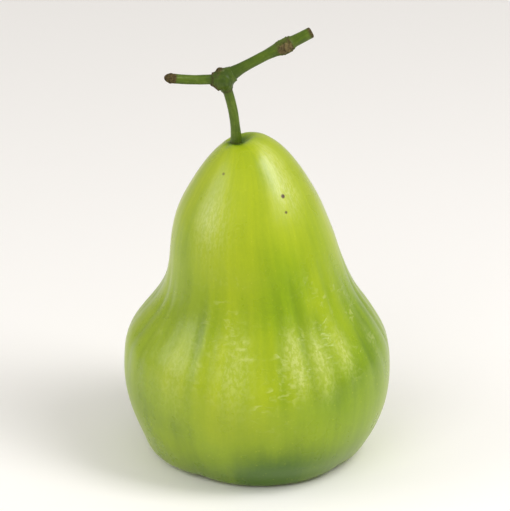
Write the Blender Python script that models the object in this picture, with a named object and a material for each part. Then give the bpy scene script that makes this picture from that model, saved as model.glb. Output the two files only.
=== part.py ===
"""A green rose apple standing on its calyx, with its stalk and the piece of twig it was picked with.

Run it with: blender --background --python part.py

Frame: metres, +Z up. The origin is on the surface that the fruit stands on, under the middle of its
widest ring. The stalk end is up, the four fleshy calyx lobes are down, and -Y is the front.
Every piece is one closed solid: fruit, fruit_stalk, twig, side_stalk, dry_bud, stamen_ring, style.
"""

import math

import bmesh
import bpy
import numpy as np
from mathutils import Matrix, Vector

MM = 0.001

# --- Fruit --------------------------------------------------------------------------------------
FRUIT_HEIGHT = 79.6 * MM  # from the foot to the crest of the neck
FRUIT_RADIUS = 30.3 * MM  # at the widest ring
CROWN_DROP = 0.761  # the neck's top is a paraboloid: share of the height it would lose by the full radius
LEAN = 1.7 * MM  # how far the neck stands to the left of the base
PIT_OFFSET = 3.3 * MM  # how far the stalk pit lies to the left of the neck's crest
PIT_SPREAD = 6.0 * MM  # how far round the pit the skin has been drawn over with it
PIT_DEPTH = 2.6 * MM
PIT_MOUTH_RADIUS = 3.2 * MM

# The wall from the neck down to the start of the foot: shares of the radius and of the height.
OUTER_WALL = (
    (0.612, 0.694),
    (0.662, 0.600),
    (0.740, 0.508),
    (0.862, 0.422),
    (0.968, 0.342),
    (1.000, 0.268),
    (0.980, 0.190),
    (0.922, 0.118),
    (0.838, 0.060),
)
CROWN_RINGS = (0.19, 0.27, 0.36, 0.455, 0.545)  # shares of the radius, on the paraboloid

# --- Calyx: four lobes rolled in over a basin -----------------------------------------------------
LOBES = 4
NOTCH_ANGLE = math.radians(-36)  # the first notch between two lobes, to the left of the front
MOUTH_RADIUS = 9.6 * MM  # from the axis to a lobe's inner edge
LOBE_HEIGHT = 8.2 * MM  # height of a rolled lobe above the surface it stands on
FOOT_WIDTH = 4.4 * MM  # across a lobe's underside, where it has been pressed flat
FOOT_PRESS = 0.3 * MM  # how much of the round underside the flat spot has taken away
NOTCH_LIFT = 1.8 * MM  # height of the rim at a notch
BASIN_RADIUS = 15.6 * MM  # at the crevice behind the lobes
BASIN_DEPTH = 20.0 * MM  # from the foot up to the middle of the basin
LOBE_SQUARENESS = 2.6  # a higher power gives straighter lobe edges
LOBE_ROUNDNESS = 0.6  # a lower power gives blunter lobe ends

# --- Skin relief --------------------------------------------------------------------------------
VALLEY_DEPTH = 0.8 * MM  # of the four soft valleys that run up from the notches
VALLEY_END = 0.44  # share of the height where the valleys have faded out
PLEATS = 12
PLEAT_DEPTH = 0.5 * MM
PLEAT_HEIGHT = 0.42  # share of the height where the pleats are deepest
PLEAT_SPREAD = 0.13

# --- Stalk, twig and what is on them ----------------------------------------------------------------
GAP = 0.3 * MM  # between pieces that touch
PIT_CLEARANCE = 0.35 * MM  # round the stalk's foot, at the pit's floor
STALK_FOOT_RADIUS = 1.32 * MM
STALK_RADIUS = 1.0 * MM
STALK_RISE = 16.9 * MM  # from the foot up to the knuckle's middle
STALK_REACH = 2.95 * MM  # from the foot to the left, to the knuckle's middle
STALK_BEND = 2.2  # power of the curve that the stalk leans over with
KNUCKLE_WIDTH = 4.5 * MM
KNUCKLE_HEIGHT = 5.3 * MM
COLLAR_LENGTH = 2.9 * MM  # from the knuckle's middle to the seat of a stalk
COLLAR_MARGIN = 0.25 * MM  # collar radius less stalk radius
BRACT_LENGTH = 3.1 * MM  # from the knuckle's middle to the point of the bract
TWIG_LENGTH = 23.0 * MM
TWIG_RADIUS = 1.2 * MM
TWIG_RISE = math.radians(27)
TWIG_TURN = math.radians(8.5)  # towards the back
TWIG_END_RADIUS = 1.4 * MM
TWIG_NODE_AT = 0.69  # share of the twig's length
TWIG_NODE_RADIUS = 1.8 * MM
SIDE_STALK_RADIUS = 1.08 * MM
SIDE_STALK_REACH = 13.7 * MM  # from the knuckle's middle to the tip
SIDE_STALK_RISE = math.radians(5.5)
SIDE_STALK_TURN = math.radians(188.5)  # to the left, and slightly to the front
BUD_LENGTH = 3.6 * MM
BUD_WIDTH = 2.3 * MM
BUD_THICKNESS = 1.7 * MM
BUD_STAND = 0.45 * MM  # how far the bud stands proud of the twig's node
STYLE_LENGTH = 7.2 * MM
STYLE_RADIUS = 0.42 * MM
STYLE_FOOT_RADIUS = 1.0 * MM
STYLE_LEAN = math.radians(24)
STAMEN_RADIUS = 0.5 * MM  # of the ring's own section, between the clumps
STAMEN_CLUMP_RADIUS = 0.95 * MM  # at the four notches
STAMEN_AT = 0.55  # share of the way along the basin's first span, from the crevice

# --- Mesh fineness --------------------------------------------------------------------------------
MERIDIANS_PER_LOBE = 18
NOTCH_CROWDING = 0.6  # 0 spaces the meridians evenly, 1 crowds them most at the notches
RING_STEP = 3.0 * MM
ROD_STEP = 1.2 * MM

# --- Looks: colour and roughness ------------------------------------------------------------------
LOOKS = {
    "skin": ((0.36, 0.52, 0.07), 0.35),
    "stalk": ((0.13, 0.24, 0.04), 0.55),
    "bark": ((0.10, 0.20, 0.03), 0.60),
    "side_stalk": ((0.14, 0.26, 0.05), 0.55),
    "dry_bud": ((0.16, 0.09, 0.04), 0.85),
    "stamens": ((0.13, 0.07, 0.03), 0.90),
    "style": ((0.42, 0.32, 0.10), 0.80),
}


# --- Scene helpers ------------------------------------------------------------------------------


def clear_scene():
    """Removes whatever the file opened with."""
    for obj in list(bpy.data.objects):
        bpy.data.objects.remove(obj)


def collection(name):
    """A new collection under the scene's own."""
    made = bpy.data.collections.new(name)
    bpy.context.scene.collection.children.link(made)
    return made


def material(name):
    """A plain Principled material from the table of looks."""
    colour, roughness = LOOKS[name]
    made = bpy.data.materials.new(name)
    made.use_nodes = True
    shader = made.node_tree.nodes["Principled BSDF"]
    shader.inputs["Base Color"].default_value = (*colour, 1.0)
    shader.inputs["Roughness"].default_value = roughness
    return made


def add_piece(name, mesh, pieces, look):
    """Links a mesh as one of the object's pieces."""
    mesh.name = name
    mesh.shade_smooth()
    obj = bpy.data.objects.new(name, mesh)
    obj.data.materials.append(material(look))
    pieces.objects.link(obj)
    return obj


def add_tool(name, mesh, tools):
    """Links a mesh that only joins or cuts another."""
    obj = bpy.data.objects.new(name, mesh)
    obj.hide_render = True
    obj.display_type = "WIRE"
    tools.objects.link(obj)
    return obj


def combine(target, tool, operation):
    """A Boolean of target with tool."""
    modifier = target.modifiers.new(tool.name, "BOOLEAN")
    modifier.operation = operation
    modifier.solver = "EXACT"
    modifier.object = tool


def smoothstep(value, start, end):
    """0 before start, 1 after end, and a soft S between them."""
    t = np.clip((value - start) / (end - start), 0.0, 1.0)
    return t * t * (3.0 - 2.0 * t)


def smooth_line(points, steps):
    """A Catmull-Rom line through rows of numbers, with steps[i] points from row i to the next."""
    rows = np.array([tuple(row) for row in points], float)
    rows = np.vstack([2 * rows[0] - rows[1], rows, 2 * rows[-1] - rows[-2]])
    line = []
    for i, count in enumerate(steps):
        before, start, end, after = rows[i : i + 4]
        for t in np.arange(count) / count:
            bend = 2 * before - 5 * start + 4 * end - after
            twist = 3 * start - before - 3 * end + after
            line.append(0.5 * (2 * start + (end - before) * t + bend * t**2 + twist * t**3))
    line.append(rows[-2])
    return np.array(line)


def rod_mesh(name, rows, closed=False):
    """A round rod along rows of (x, y, z, radius)."""
    curve = bpy.data.curves.new(name, "CURVE")
    curve.dimensions = "3D"
    curve.bevel_depth = 1.0
    curve.bevel_resolution = 2
    curve.use_fill_caps = True
    spline = curve.splines.new("POLY")
    spline.use_cyclic_u = closed
    spline.points.add(len(rows) - 1)
    for point, row in zip(spline.points, rows):
        point.co = (row[0], row[1], row[2], 1.0)
        point.radius = row[3]
    holder = bpy.data.objects.new(name, curve)
    mesh = bpy.data.meshes.new_from_object(holder)
    bpy.data.objects.remove(holder)
    shape = bmesh.new()
    shape.from_mesh(mesh)
    bmesh.ops.remove_doubles(shape, verts=shape.verts, dist=1e-6)
    bmesh.ops.recalc_face_normals(shape, faces=shape.faces)
    shape.to_mesh(mesh)
    shape.free()
    return mesh


def ellipsoid_mesh(name, centre, axes, sizes, segments=20, rings=12):
    """An ellipsoid with the given full sizes along three unit axes."""
    turn = Matrix((axes[0], axes[1], axes[2])).transposed().to_4x4()
    place = Matrix.Translation(centre) @ turn @ Matrix.Diagonal((*sizes, 1.0))
    shape = bmesh.new()
    bmesh.ops.create_uvsphere(shape, u_segments=segments, v_segments=rings, radius=0.5, matrix=place)
    mesh = bpy.data.meshes.new(name)
    shape.to_mesh(mesh)
    shape.free()
    return mesh


# --- Fruit --------------------------------------------------------------------------------------


def pit_radius():
    """The pit's level floor: the stalk's foot and the clearance round it."""
    return STALK_FOOT_RADIUS + PIT_CLEARANCE


def crown_drop(offset):
    """How far the neck's paraboloid has dropped at an offset from its crest."""
    return CROWN_DROP * FRUIT_HEIGHT * (offset / FRUIT_RADIUS) ** 2


def crown_height(radius):
    """Height of the neck's paraboloid less the stalk pit."""
    pit = 1.0 - smoothstep(radius, pit_radius(), PIT_MOUTH_RADIUS)
    return FRUIT_HEIGHT - crown_drop(radius) - PIT_DEPTH * pit


def crown_and_wall():
    """(radius, height) points that the lobe and notch meridians share above the foot."""
    slope = PIT_MOUTH_RADIUS - pit_radius()
    radii = [0.0, pit_radius()]
    radii += [pit_radius() + share * slope for share in (0.25, 0.5, 0.75, 1.0)]
    radii += [share * FRUIT_RADIUS for share in CROWN_RINGS]
    crown = [(radius, float(crown_height(radius))) for radius in radii]
    wall = [(radius * FRUIT_RADIUS, height * FRUIT_HEIGHT) for radius, height in OUTER_WALL]
    return crown + wall


def basin():
    """(radius, height) points of the basin's cone, from behind the lobes to its middle."""
    rise = BASIN_DEPTH - LOBE_HEIGHT
    return [
        (0.985 * BASIN_RADIUS, LOBE_HEIGHT + 0.13 * rise),
        (0.85 * BASIN_RADIUS, LOBE_HEIGHT + 0.42 * rise),
        (0.60 * BASIN_RADIUS, LOBE_HEIGHT + 0.73 * rise),
        (0.29 * BASIN_RADIUS, LOBE_HEIGHT + 0.94 * rise),
        (0.0, BASIN_DEPTH),
    ]


def lobe_meridian():
    """The meridian through the middle of a lobe, which rolls in under the basin."""
    wall_end = OUTER_WALL[-1][0] * FRUIT_RADIUS
    foot = 0.5 * (wall_end + MOUTH_RADIUS)
    roll = BASIN_RADIUS - MOUTH_RADIUS
    lobe = [
        (foot + 0.62 * (wall_end - foot), 0.16 * LOBE_HEIGHT),
        (foot + 0.5 * FOOT_WIDTH, -FOOT_PRESS),
        (foot - 0.5 * FOOT_WIDTH, -FOOT_PRESS),
        (MOUTH_RADIUS + 0.56 * roll, 0.09 * LOBE_HEIGHT),
        (MOUTH_RADIUS + 0.18 * roll, 0.31 * LOBE_HEIGHT),
        (MOUTH_RADIUS, 0.62 * LOBE_HEIGHT),
        (MOUTH_RADIUS + 0.16 * roll, 0.90 * LOBE_HEIGHT),
        (MOUTH_RADIUS + 0.52 * roll, LOBE_HEIGHT),
        (MOUTH_RADIUS + 0.93 * roll, LOBE_HEIGHT),
    ]
    return crown_and_wall() + lobe + basin()


def notch_meridian():
    """The meridian through a notch, where there is only the rim, with a point for each of a lobe's."""
    wall_end = OUTER_WALL[-1][0] * FRUIT_RADIUS
    rim = wall_end - BASIN_RADIUS
    climb = LOBE_HEIGHT - NOTCH_LIFT
    notch = [
        (BASIN_RADIUS + 0.68 * rim, 1.20 * NOTCH_LIFT),
        (BASIN_RADIUS + 0.50 * rim, NOTCH_LIFT),
        (BASIN_RADIUS + 0.34 * rim, NOTCH_LIFT + 0.07 * climb),
        (BASIN_RADIUS + 0.23 * rim, NOTCH_LIFT + 0.20 * climb),
        (BASIN_RADIUS + 0.16 * rim, NOTCH_LIFT + 0.36 * climb),
        (BASIN_RADIUS + 0.11 * rim, NOTCH_LIFT + 0.54 * climb),
        (BASIN_RADIUS + 0.07 * rim, NOTCH_LIFT + 0.72 * climb),
        (BASIN_RADIUS + 0.04 * rim, NOTCH_LIFT + 0.88 * climb),
        (BASIN_RADIUS + 0.02 * rim, LOBE_HEIGHT + 0.03 * climb),
    ]
    return crown_and_wall() + notch + basin()


def meridian_places():
    """(angle, place in the lobe from -1 to 1) of each meridian, crowded towards the notches."""
    even = 2.0 * np.arange(MERIDIANS_PER_LOBE) / MERIDIANS_PER_LOBE - 1.0
    place = (1.0 - NOTCH_CROWDING) * even + NOTCH_CROWDING * np.sin(0.5 * math.pi * even)
    lobe = 2.0 * math.pi / LOBES
    starts = NOTCH_ANGLE + lobe * np.arange(LOBES)
    angle = starts[:, None] + lobe * 0.5 * (place + 1.0)[None, :]
    return angle.ravel(), np.tile(place, LOBES)


def relief(angle, height):
    """How far the skin lies under the smooth bell: the four valleys and the pleats of the flare."""
    share = height / FRUIT_HEIGHT
    valley = (0.5 + 0.5 * np.cos(LOBES * (angle - NOTCH_ANGLE))) ** 2
    valley = valley * VALLEY_DEPTH * (1.0 - smoothstep(share, 0.10, VALLEY_END))
    pleat = 0.5 + 0.5 * np.cos(PLEATS * (angle - NOTCH_ANGLE) + 0.6 * np.sin(3.0 * angle))
    swell = np.exp(-(((share - PLEAT_HEIGHT) / PLEAT_SPREAD) ** 2))
    return valley + pleat * swell * PLEAT_DEPTH


def lean(x, y, height):
    """Leans the neck to the left, and slides the pit further to the left along the crown."""
    neck = smoothstep(height / FRUIT_HEIGHT, 0.50, 0.78)
    top = smoothstep(height / FRUIT_HEIGHT, 0.72, 0.84)
    radius = np.hypot(x, y)
    slid = x - PIT_OFFSET * top * np.exp(-((radius / PIT_SPREAD) ** 2))
    floor = 1.0 - smoothstep(radius, pit_radius(), PIT_MOUTH_RADIUS)
    slope = crown_drop(x) - crown_drop(slid)
    level = -crown_drop(PIT_OFFSET)
    return slid - LEAN * neck, y, height + top * (slope * (1.0 - floor) + level * floor)


def lean_point(height):
    """Where a point on the fruit's own axis has moved to."""
    return Vector([float(part) for part in lean(np.array(0.0), np.array(0.0), np.array(height))])


def fruit(pieces):
    """Flesh, skin and calyx lobes as one solid: a loft between the lobe and notch meridians."""
    lobe_points, notch_points = lobe_meridian(), notch_meridian()
    spans = np.linalg.norm(np.diff(np.array(lobe_points), axis=0), axis=1)
    steps = np.maximum(1, np.round(spans / RING_STEP)).astype(int)
    lobe, notch = smooth_line(lobe_points, steps), smooth_line(notch_points, steps)
    angle, place = meridian_places()
    weight = (1.0 - np.abs(place) ** LOBE_SQUARENESS) ** LOBE_ROUNDNESS
    meridian = notch[1:-1, None, :] + weight[None, :, None] * (lobe - notch)[1:-1, None, :]
    radius, height = meridian[..., 0], meridian[..., 1]

    outer_rings = steps[: len(crown_and_wall()) + 1].sum()
    outside = np.arange(len(radius)) < outer_rings
    radius = radius - outside[:, None] * relief(angle[None, :], height)
    x, y, z = lean(radius * np.sin(angle), -radius * np.cos(angle), height)
    corners = np.stack([x, y, np.maximum(z, 0.0)], axis=-1).reshape(-1, 3)
    poles = [lean_point(lobe[0, 1]), lean_point(lobe[-1, 1])]

    rings, around = radius.shape
    grid = np.arange(rings * around).reshape(rings, around)
    beside = np.roll(grid, -1, axis=1)
    walls = np.stack([grid[:-1], grid[1:], beside[1:], beside[:-1]], axis=-1).reshape(-1, 4)
    pit_pole, basin_pole = rings * around, rings * around + 1
    pit = [(pit_pole, int(a), int(b)) for a, b in zip(grid[0], beside[0])]
    cone = [(basin_pole, int(b), int(a)) for a, b in zip(grid[-1], beside[-1])]
    mesh = bpy.data.meshes.new("fruit")
    mesh.from_pydata([*corners.tolist(), *map(tuple, poles)], [], [*walls.tolist(), *pit, *cone])
    return add_piece("fruit", mesh, pieces, "skin")


# --- Stalks and twig ----------------------------------------------------------------------------


def stalk_foot():
    """Middle of the stalk's foot, a gap above the pit's floor."""
    return lean_point(FRUIT_HEIGHT - PIT_DEPTH) + Vector((0.0, 0.0, GAP))


def stalk_axis(share):
    """A point of the stalk's middle line: 0 at its foot, 1 in the middle of the knuckle."""
    return stalk_foot() + Vector((-STALK_REACH * share**STALK_BEND, 0.0, STALK_RISE * share))


def knuckle():
    """Middle of the knuckle, where the stalks meet the twig."""
    return stalk_axis(1.0)


def direction(rise, turn):
    """A unit vector turned from +X towards +Y, and raised."""
    return Vector(
        (math.cos(rise) * math.cos(turn), math.cos(rise) * math.sin(turn), math.sin(rise))
    )


def fruit_stalk(pieces):
    """The fruit's own stalk, thickest at its foot."""
    seat = 1.0 - (COLLAR_LENGTH + GAP) / STALK_RISE
    shape = (
        (0.00, STALK_FOOT_RADIUS),
        (0.10, 1.18 * STALK_RADIUS),
        (0.30, STALK_RADIUS),
        (1.00, STALK_RADIUS),
    )
    rows = []
    for share in np.linspace(0.0, 1.0, 13):
        radius = np.interp(share, [at for at, _ in shape], [size for _, size in shape])
        rows.append((*stalk_axis(seat * share), float(radius)))
    return add_piece("fruit_stalk", rod_mesh("fruit_stalk", rows), pieces, "stalk")


def twig_middle(share):
    """A point of the twig's middle line, which sags a little between the knuckle and its cut end."""
    along = direction(TWIG_RISE, TWIG_TURN) * (TWIG_LENGTH * share)
    return knuckle() + along + Vector((0.0, 0.0, 0.6 * MM * math.sin(math.pi * share) * (1.0 - share)))


def twig(pieces, tools):
    """The knuckle with its collars and bract, and the twig on to its swollen node and cut end."""
    shape = (
        (0.00, 1.35 * TWIG_RADIUS),
        (0.14, 1.10 * TWIG_RADIUS),
        (0.35, TWIG_RADIUS),
        (TWIG_NODE_AT - 0.12, TWIG_RADIUS),
        (TWIG_NODE_AT - 0.03, TWIG_NODE_RADIUS),
        (TWIG_NODE_AT + 0.03, TWIG_NODE_RADIUS),
        (TWIG_NODE_AT + 0.10, TWIG_END_RADIUS),
        (1.00, TWIG_END_RADIUS),
    )
    rows = [(*twig_middle(share), radius) for share, radius in shape]
    spans = np.diff([share for share, _ in shape]) * TWIG_LENGTH
    steps = np.maximum(2, np.round(spans / ROD_STEP)).astype(int)
    made = add_piece("twig", rod_mesh("twig", smooth_line(rows, steps)), pieces, "bark")

    level = ((1.0, 0.0, 0.0), (0.0, 1.0, 0.0), (0.0, 0.0, 1.0))
    sizes = (KNUCKLE_WIDTH, KNUCKLE_WIDTH, KNUCKLE_HEIGHT)
    combine(made, add_tool("knuckle", ellipsoid_mesh("knuckle", knuckle(), level, sizes), tools), "UNION")

    seat = 1.0 - COLLAR_LENGTH / STALK_RISE
    collar = STALK_RADIUS + COLLAR_MARGIN
    rows = [(*stalk_axis(1.0 - (1.0 - seat) * at), collar * (1.3 - 0.3 * at)) for at in (0.0, 0.5, 1.0)]
    combine(made, add_tool("stalk_collar", rod_mesh("stalk_collar", rows), tools), "UNION")

    collar = SIDE_STALK_RADIUS + COLLAR_MARGIN
    rows = [(*side_stalk_middle(COLLAR_LENGTH * at), collar * (1.3 - 0.3 * at)) for at in (0.0, 0.5, 1.0)]
    combine(made, add_tool("side_collar", rod_mesh("side_collar", rows), tools), "UNION")

    point = Vector((-0.45, -0.15, 1.0)).normalized() * BRACT_LENGTH
    shape = ((0.3, 0.45), (0.8, 0.26), (1.0, 0.1))
    rows = [(*(knuckle() + point * at), BRACT_LENGTH * thick) for at, thick in shape]
    combine(made, add_tool("bract", rod_mesh("bract", rows), tools), "UNION")

    pocket = bud_mesh("bud_pocket", GAP)
    combine(made, add_tool("bud_pocket", pocket, tools), "DIFFERENCE")
    return made


def side_stalk_middle(distance):
    """A point of the side stalk's middle line, at a distance from the middle of the knuckle."""
    return knuckle() + direction(SIDE_STALK_RISE, SIDE_STALK_TURN) * distance


def side_stalk(pieces):
    """A bare stalk whose fruit has dropped, with a round tip."""
    start = COLLAR_LENGTH + GAP
    length = SIDE_STALK_REACH - start
    tip = 1.1 * SIDE_STALK_RADIUS
    rows = [(*side_stalk_middle(start + length * at), SIDE_STALK_RADIUS) for at in (0.0, 0.25, 0.5, 0.7)]
    for angle in np.radians((0, 25, 50, 72)):
        reach = SIDE_STALK_REACH - tip + tip * math.sin(angle)
        rows.append((*side_stalk_middle(reach), tip * math.cos(angle)))
    return add_piece("side_stalk", rod_mesh("side_stalk", rows), pieces, "side_stalk")


def bud_mesh(name, margin):
    """The bud's ellipsoid, half sunk in the front of the twig's node, grown by a margin."""
    along = (twig_middle(TWIG_NODE_AT + 0.02) - twig_middle(TWIG_NODE_AT - 0.02)).normalized()
    out = along.cross(Vector((0.0, 0.0, 1.0))).normalized()
    up = out.cross(along)
    centre = twig_middle(TWIG_NODE_AT) + out * (TWIG_NODE_RADIUS + BUD_STAND - 0.5 * BUD_THICKNESS)
    sizes = [size + 2.0 * margin for size in (BUD_LENGTH, BUD_WIDTH, BUD_THICKNESS)]
    return ellipsoid_mesh(name, centre, (along, up, out), sizes, 16, 10)


def dry_bud(pieces):
    """The dry bud at the twig's node."""
    return add_piece("dry_bud", bud_mesh("dry_bud", 0.0), pieces, "dry_bud")


# --- What is left of the flower, inside the basin -----------------------------------------------------


def stamen_ring(pieces):
    """The ring of dried stamens on the basin's wall, thickest at the four notches."""
    start, end = (np.array(point) for point in basin()[:2])
    middle = start + STAMEN_AT * (end - start)
    inward = np.array([start[1] - end[1], end[0] - start[0]])
    inward = inward / np.linalg.norm(inward)
    angle = np.arange(48) * (2.0 * math.pi / 48) + NOTCH_ANGLE
    clump = (0.5 + 0.5 * np.cos(LOBES * (angle - NOTCH_ANGLE))) ** 4
    size = STAMEN_RADIUS + (STAMEN_CLUMP_RADIUS - STAMEN_RADIUS) * clump
    radius = middle[0] + inward[0] * (size + GAP)
    height = middle[1] + inward[1] * (size + GAP)
    rows = np.stack([radius * np.sin(angle), -radius * np.cos(angle), height, size], axis=-1)
    return add_piece("stamen_ring", rod_mesh("stamen_ring", rows, closed=True), pieces, "stamens")


def style(pieces):
    """The dried style, hanging from the middle of the basin."""
    foot = Vector((0.0, 0.0, BASIN_DEPTH - GAP))
    shape = (
        (0.00, STYLE_FOOT_RADIUS),
        (0.08, 0.7 * STYLE_FOOT_RADIUS),
        (0.20, STYLE_RADIUS),
        (0.60, STYLE_RADIUS),
        (0.93, 0.8 * STYLE_RADIUS),
        (1.00, 0.4 * STYLE_RADIUS),
    )
    rows = []
    for share, radius in shape:
        angle = STYLE_LEAN * share
        offset = Vector((math.sin(angle), -0.4 * math.sin(angle), -math.cos(angle)))
        rows.append((*(foot + offset * (STYLE_LENGTH * share)), radius))
    return add_piece("style", rod_mesh("style", smooth_line(rows, (2, 2, 3, 3, 2))), pieces, "style")


def main():
    """Builds every piece."""
    clear_scene()
    pieces = collection("rose_apple")
    tools = collection("tools")
    fruit(pieces)
    fruit_stalk(pieces)
    twig(pieces, tools)
    side_stalk(pieces)
    dry_bud(pieces)
    stamen_ring(pieces)
    style(pieces)


main()
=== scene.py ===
"""A green rose apple with its stalk and a forked piece of twig, finished for a studio shot.

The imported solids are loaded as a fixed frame. Finer surfaces then stand for them: the bell-shaped
fruit with its ribs, rolled calyx lobes, basin and stalk pit; the stalks, knuckle and twig with
their scars; the dry bud; and what is left of the flower inside the basin. Lengths are in metres,
+Z is up and -Y is the front. Angles round the fruit start at the front and grow towards +X.
"""

from __future__ import annotations

import logging
import math
from collections.abc import Sequence
from dataclasses import dataclass, field
from enum import Enum
from typing import Any, Union

import bpy
import numpy as np
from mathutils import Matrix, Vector
from numpy.typing import NDArray

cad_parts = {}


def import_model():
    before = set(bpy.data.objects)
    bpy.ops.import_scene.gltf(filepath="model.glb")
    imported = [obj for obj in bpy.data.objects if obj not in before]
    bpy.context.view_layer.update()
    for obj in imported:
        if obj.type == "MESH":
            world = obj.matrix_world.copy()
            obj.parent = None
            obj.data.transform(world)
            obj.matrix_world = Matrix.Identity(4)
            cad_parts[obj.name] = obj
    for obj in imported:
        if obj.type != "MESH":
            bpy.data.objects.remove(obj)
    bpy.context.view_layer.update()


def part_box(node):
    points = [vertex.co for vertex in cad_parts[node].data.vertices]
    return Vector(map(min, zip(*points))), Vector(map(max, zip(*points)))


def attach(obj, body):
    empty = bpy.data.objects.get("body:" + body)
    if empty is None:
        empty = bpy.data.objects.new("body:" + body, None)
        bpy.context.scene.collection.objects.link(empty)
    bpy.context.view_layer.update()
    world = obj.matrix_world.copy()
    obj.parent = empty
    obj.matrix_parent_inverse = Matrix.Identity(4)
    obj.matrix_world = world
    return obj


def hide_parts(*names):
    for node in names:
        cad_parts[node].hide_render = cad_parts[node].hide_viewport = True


Array = NDArray[np.float64]
IntArray = NDArray[np.int64]
Colour = tuple[float, float, float]

MM = 0.001
TURN = 2.0 * math.pi
UP = np.array([0.0, 0.0, 1.0])
BACK = np.array([0.0, 1.0, 0.0])
BODY = "root"
log = logging.getLogger("rose_apple")


# --- Numbers and curves ---------------------------------------------------------------------------


def smoothstep(value: Array, start: float, end: float) -> Array:
    """Eases from 0 to 1 with the cubic 3t^2 - 2t^3.

    Args:
        value: Where to read the step.
        start: Value at which it leaves 0.
        end: Value at which it reaches 1.

    Returns:
        The step, of the same shape as value.
    """
    t = np.clip((value - start) / (end - start), 0.0, 1.0)
    return t * t * (3.0 - 2.0 * t)


def hump(value: Array, middle: float, width: float) -> Array:
    """Gives the bell curve exp(-((value - middle) / width)^2).

    Args:
        value: Where to read the curve.
        middle: Where it is 1.
        width: Distance from the middle at which it is down to 1/e.

    Returns:
        The curve, of the same shape as value.
    """
    return np.exp(-(((value - middle) / width) ** 2))


def around_hump(angle: Array, middle: float, width: float) -> Array:
    """Gives the bell curve of the shortest turn between two directions.

    Args:
        angle: Directions in radians.
        middle: The direction where it is 1, in degrees.
        width: Turn from the middle at which it is down to 1/e, in radians.

    Returns:
        The curve, of the same shape as angle.
    """
    return hump(turn_between(angle, middle), 0.0, width)


def turn_between(angle: Array, middle: float) -> Array:
    """Signed turn from one direction to another, from -pi to pi.

    Args:
        angle: Directions in radians.
        middle: The direction to measure from, in degrees.

    Returns:
        The shortest turn from middle to each angle, in radians.
    """
    return (angle - math.radians(middle) + math.pi) % TURN - math.pi


def full_turn(count: int) -> Array:
    """Evenly spaced directions round a full turn, in radians."""
    return np.arange(count) * (TURN / count)


def spread(*parts: Any) -> Array:
    """Stacks numbers and arrays as coordinates in a new last axis, all stretched to one shape."""
    return np.stack(np.broadcast_arrays(*parts), axis=-1)


def unit(vectors: Array) -> Array:
    """Vectors of length 1 in the same directions."""
    return vectors / np.linalg.norm(vectors, axis=-1, keepdims=True)


def through(points: Array, at: Array) -> Array:
    """Reads a Catmull-Rom line through rows of numbers.

    Between rows p1 and p2 the line is the cubic that passes both, with the slopes (p2 - p0) / 2 and
    (p3 - p1) / 2 at its ends. The line runs straight on past its first and last row.

    Args:
        points: Rows to pass through.
        at: Fractional row numbers to read it at.

    Returns:
        One row for each number in at.
    """
    padded = np.vstack([2 * points[0] - points[1], points, 2 * points[-1] - points[-2]])
    low = np.clip(np.floor(at).astype(int), 0, len(points) - 2)
    t = (at - low)[:, None]
    before, start, end, after = (padded[low + k] for k in range(4))
    bend = 2 * before - 5 * start + 4 * end - after
    twist = 3 * start - before - 3 * end + after
    return 0.5 * (2 * start + (end - before) * t + bend * t**2 + twist * t**3)


def even_places(points: Array, count: int, weight: Array | None = None) -> Array:
    """Finds the row numbers that space a Catmull-Rom line evenly.

    Args:
        points: Rows that the line passes through.
        count: How many places to find.
        weight: How closely to space them near each row: 2 is twice as close as 1.

    Returns:
        Fractional row numbers, from the first row to the last.
    """
    fine = np.linspace(0.0, len(points) - 1.0, 40 * len(points))
    steps = np.linalg.norm(np.diff(through(points, fine), axis=0), axis=1)
    if weight is not None:
        steps = steps * np.interp(0.5 * (fine[1:] + fine[:-1]), np.arange(len(points)), weight)
    length = np.concatenate([[0.0], np.cumsum(steps)])
    return np.interp(np.linspace(0.0, length[-1], count), length, fine)


def ripples(points: Array, wavelength: float, seed: int, waves: int = 14) -> Array:
    """Gives a smooth random field: the scaled sum of sine waves in random directions.

    Args:
        points: Places to read it at, in the last axis.
        wavelength: Typical distance from crest to crest.
        seed: Picks the directions and phases.
        waves: How many waves are summed.

    Returns:
        Values of about -1 to 1.
    """
    pick = np.random.default_rng(seed)
    directions = unit(pick.normal(size=(waves, points.shape[-1])))
    pace = TURN / (wavelength * pick.uniform(0.7, 1.4, waves))
    phase = pick.uniform(0.0, TURN, waves)
    total = np.zeros(points.shape[:-1])
    for direction, k, start in zip(directions, pace, phase):
        total += np.sin(points @ direction * k + start)
    return total * math.sqrt(2.0 / waves) * 0.6


def round_trip(angle: Array, seed: int, slowest: int, fastest: int) -> Array:
    """Gives a smooth random line that closes on itself after a full turn.

    Args:
        angle: Directions in radians.
        seed: Picks the amplitudes and phases.
        slowest: Fewest waves in a turn.
        fastest: Most waves in a turn.

    Returns:
        The sum of those sine waves, of about -1 to 1.
    """
    pick = np.random.default_rng(seed)
    counts = np.arange(slowest, fastest + 1)
    sizes = pick.uniform(0.4, 1.0, len(counts))
    phases = pick.uniform(0.0, TURN, len(counts))
    waves = np.sin(angle[..., None] * counts + phases) * sizes
    return waves.sum(axis=-1) / np.sqrt((sizes**2).sum())


# --- Closed surfaces ------------------------------------------------------------------------------


def placed(made: bpy.types.Object) -> bpy.types.Object:
    """Puts an object into the scene."""
    bpy.context.scene.collection.objects.link(made)
    return made


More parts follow.
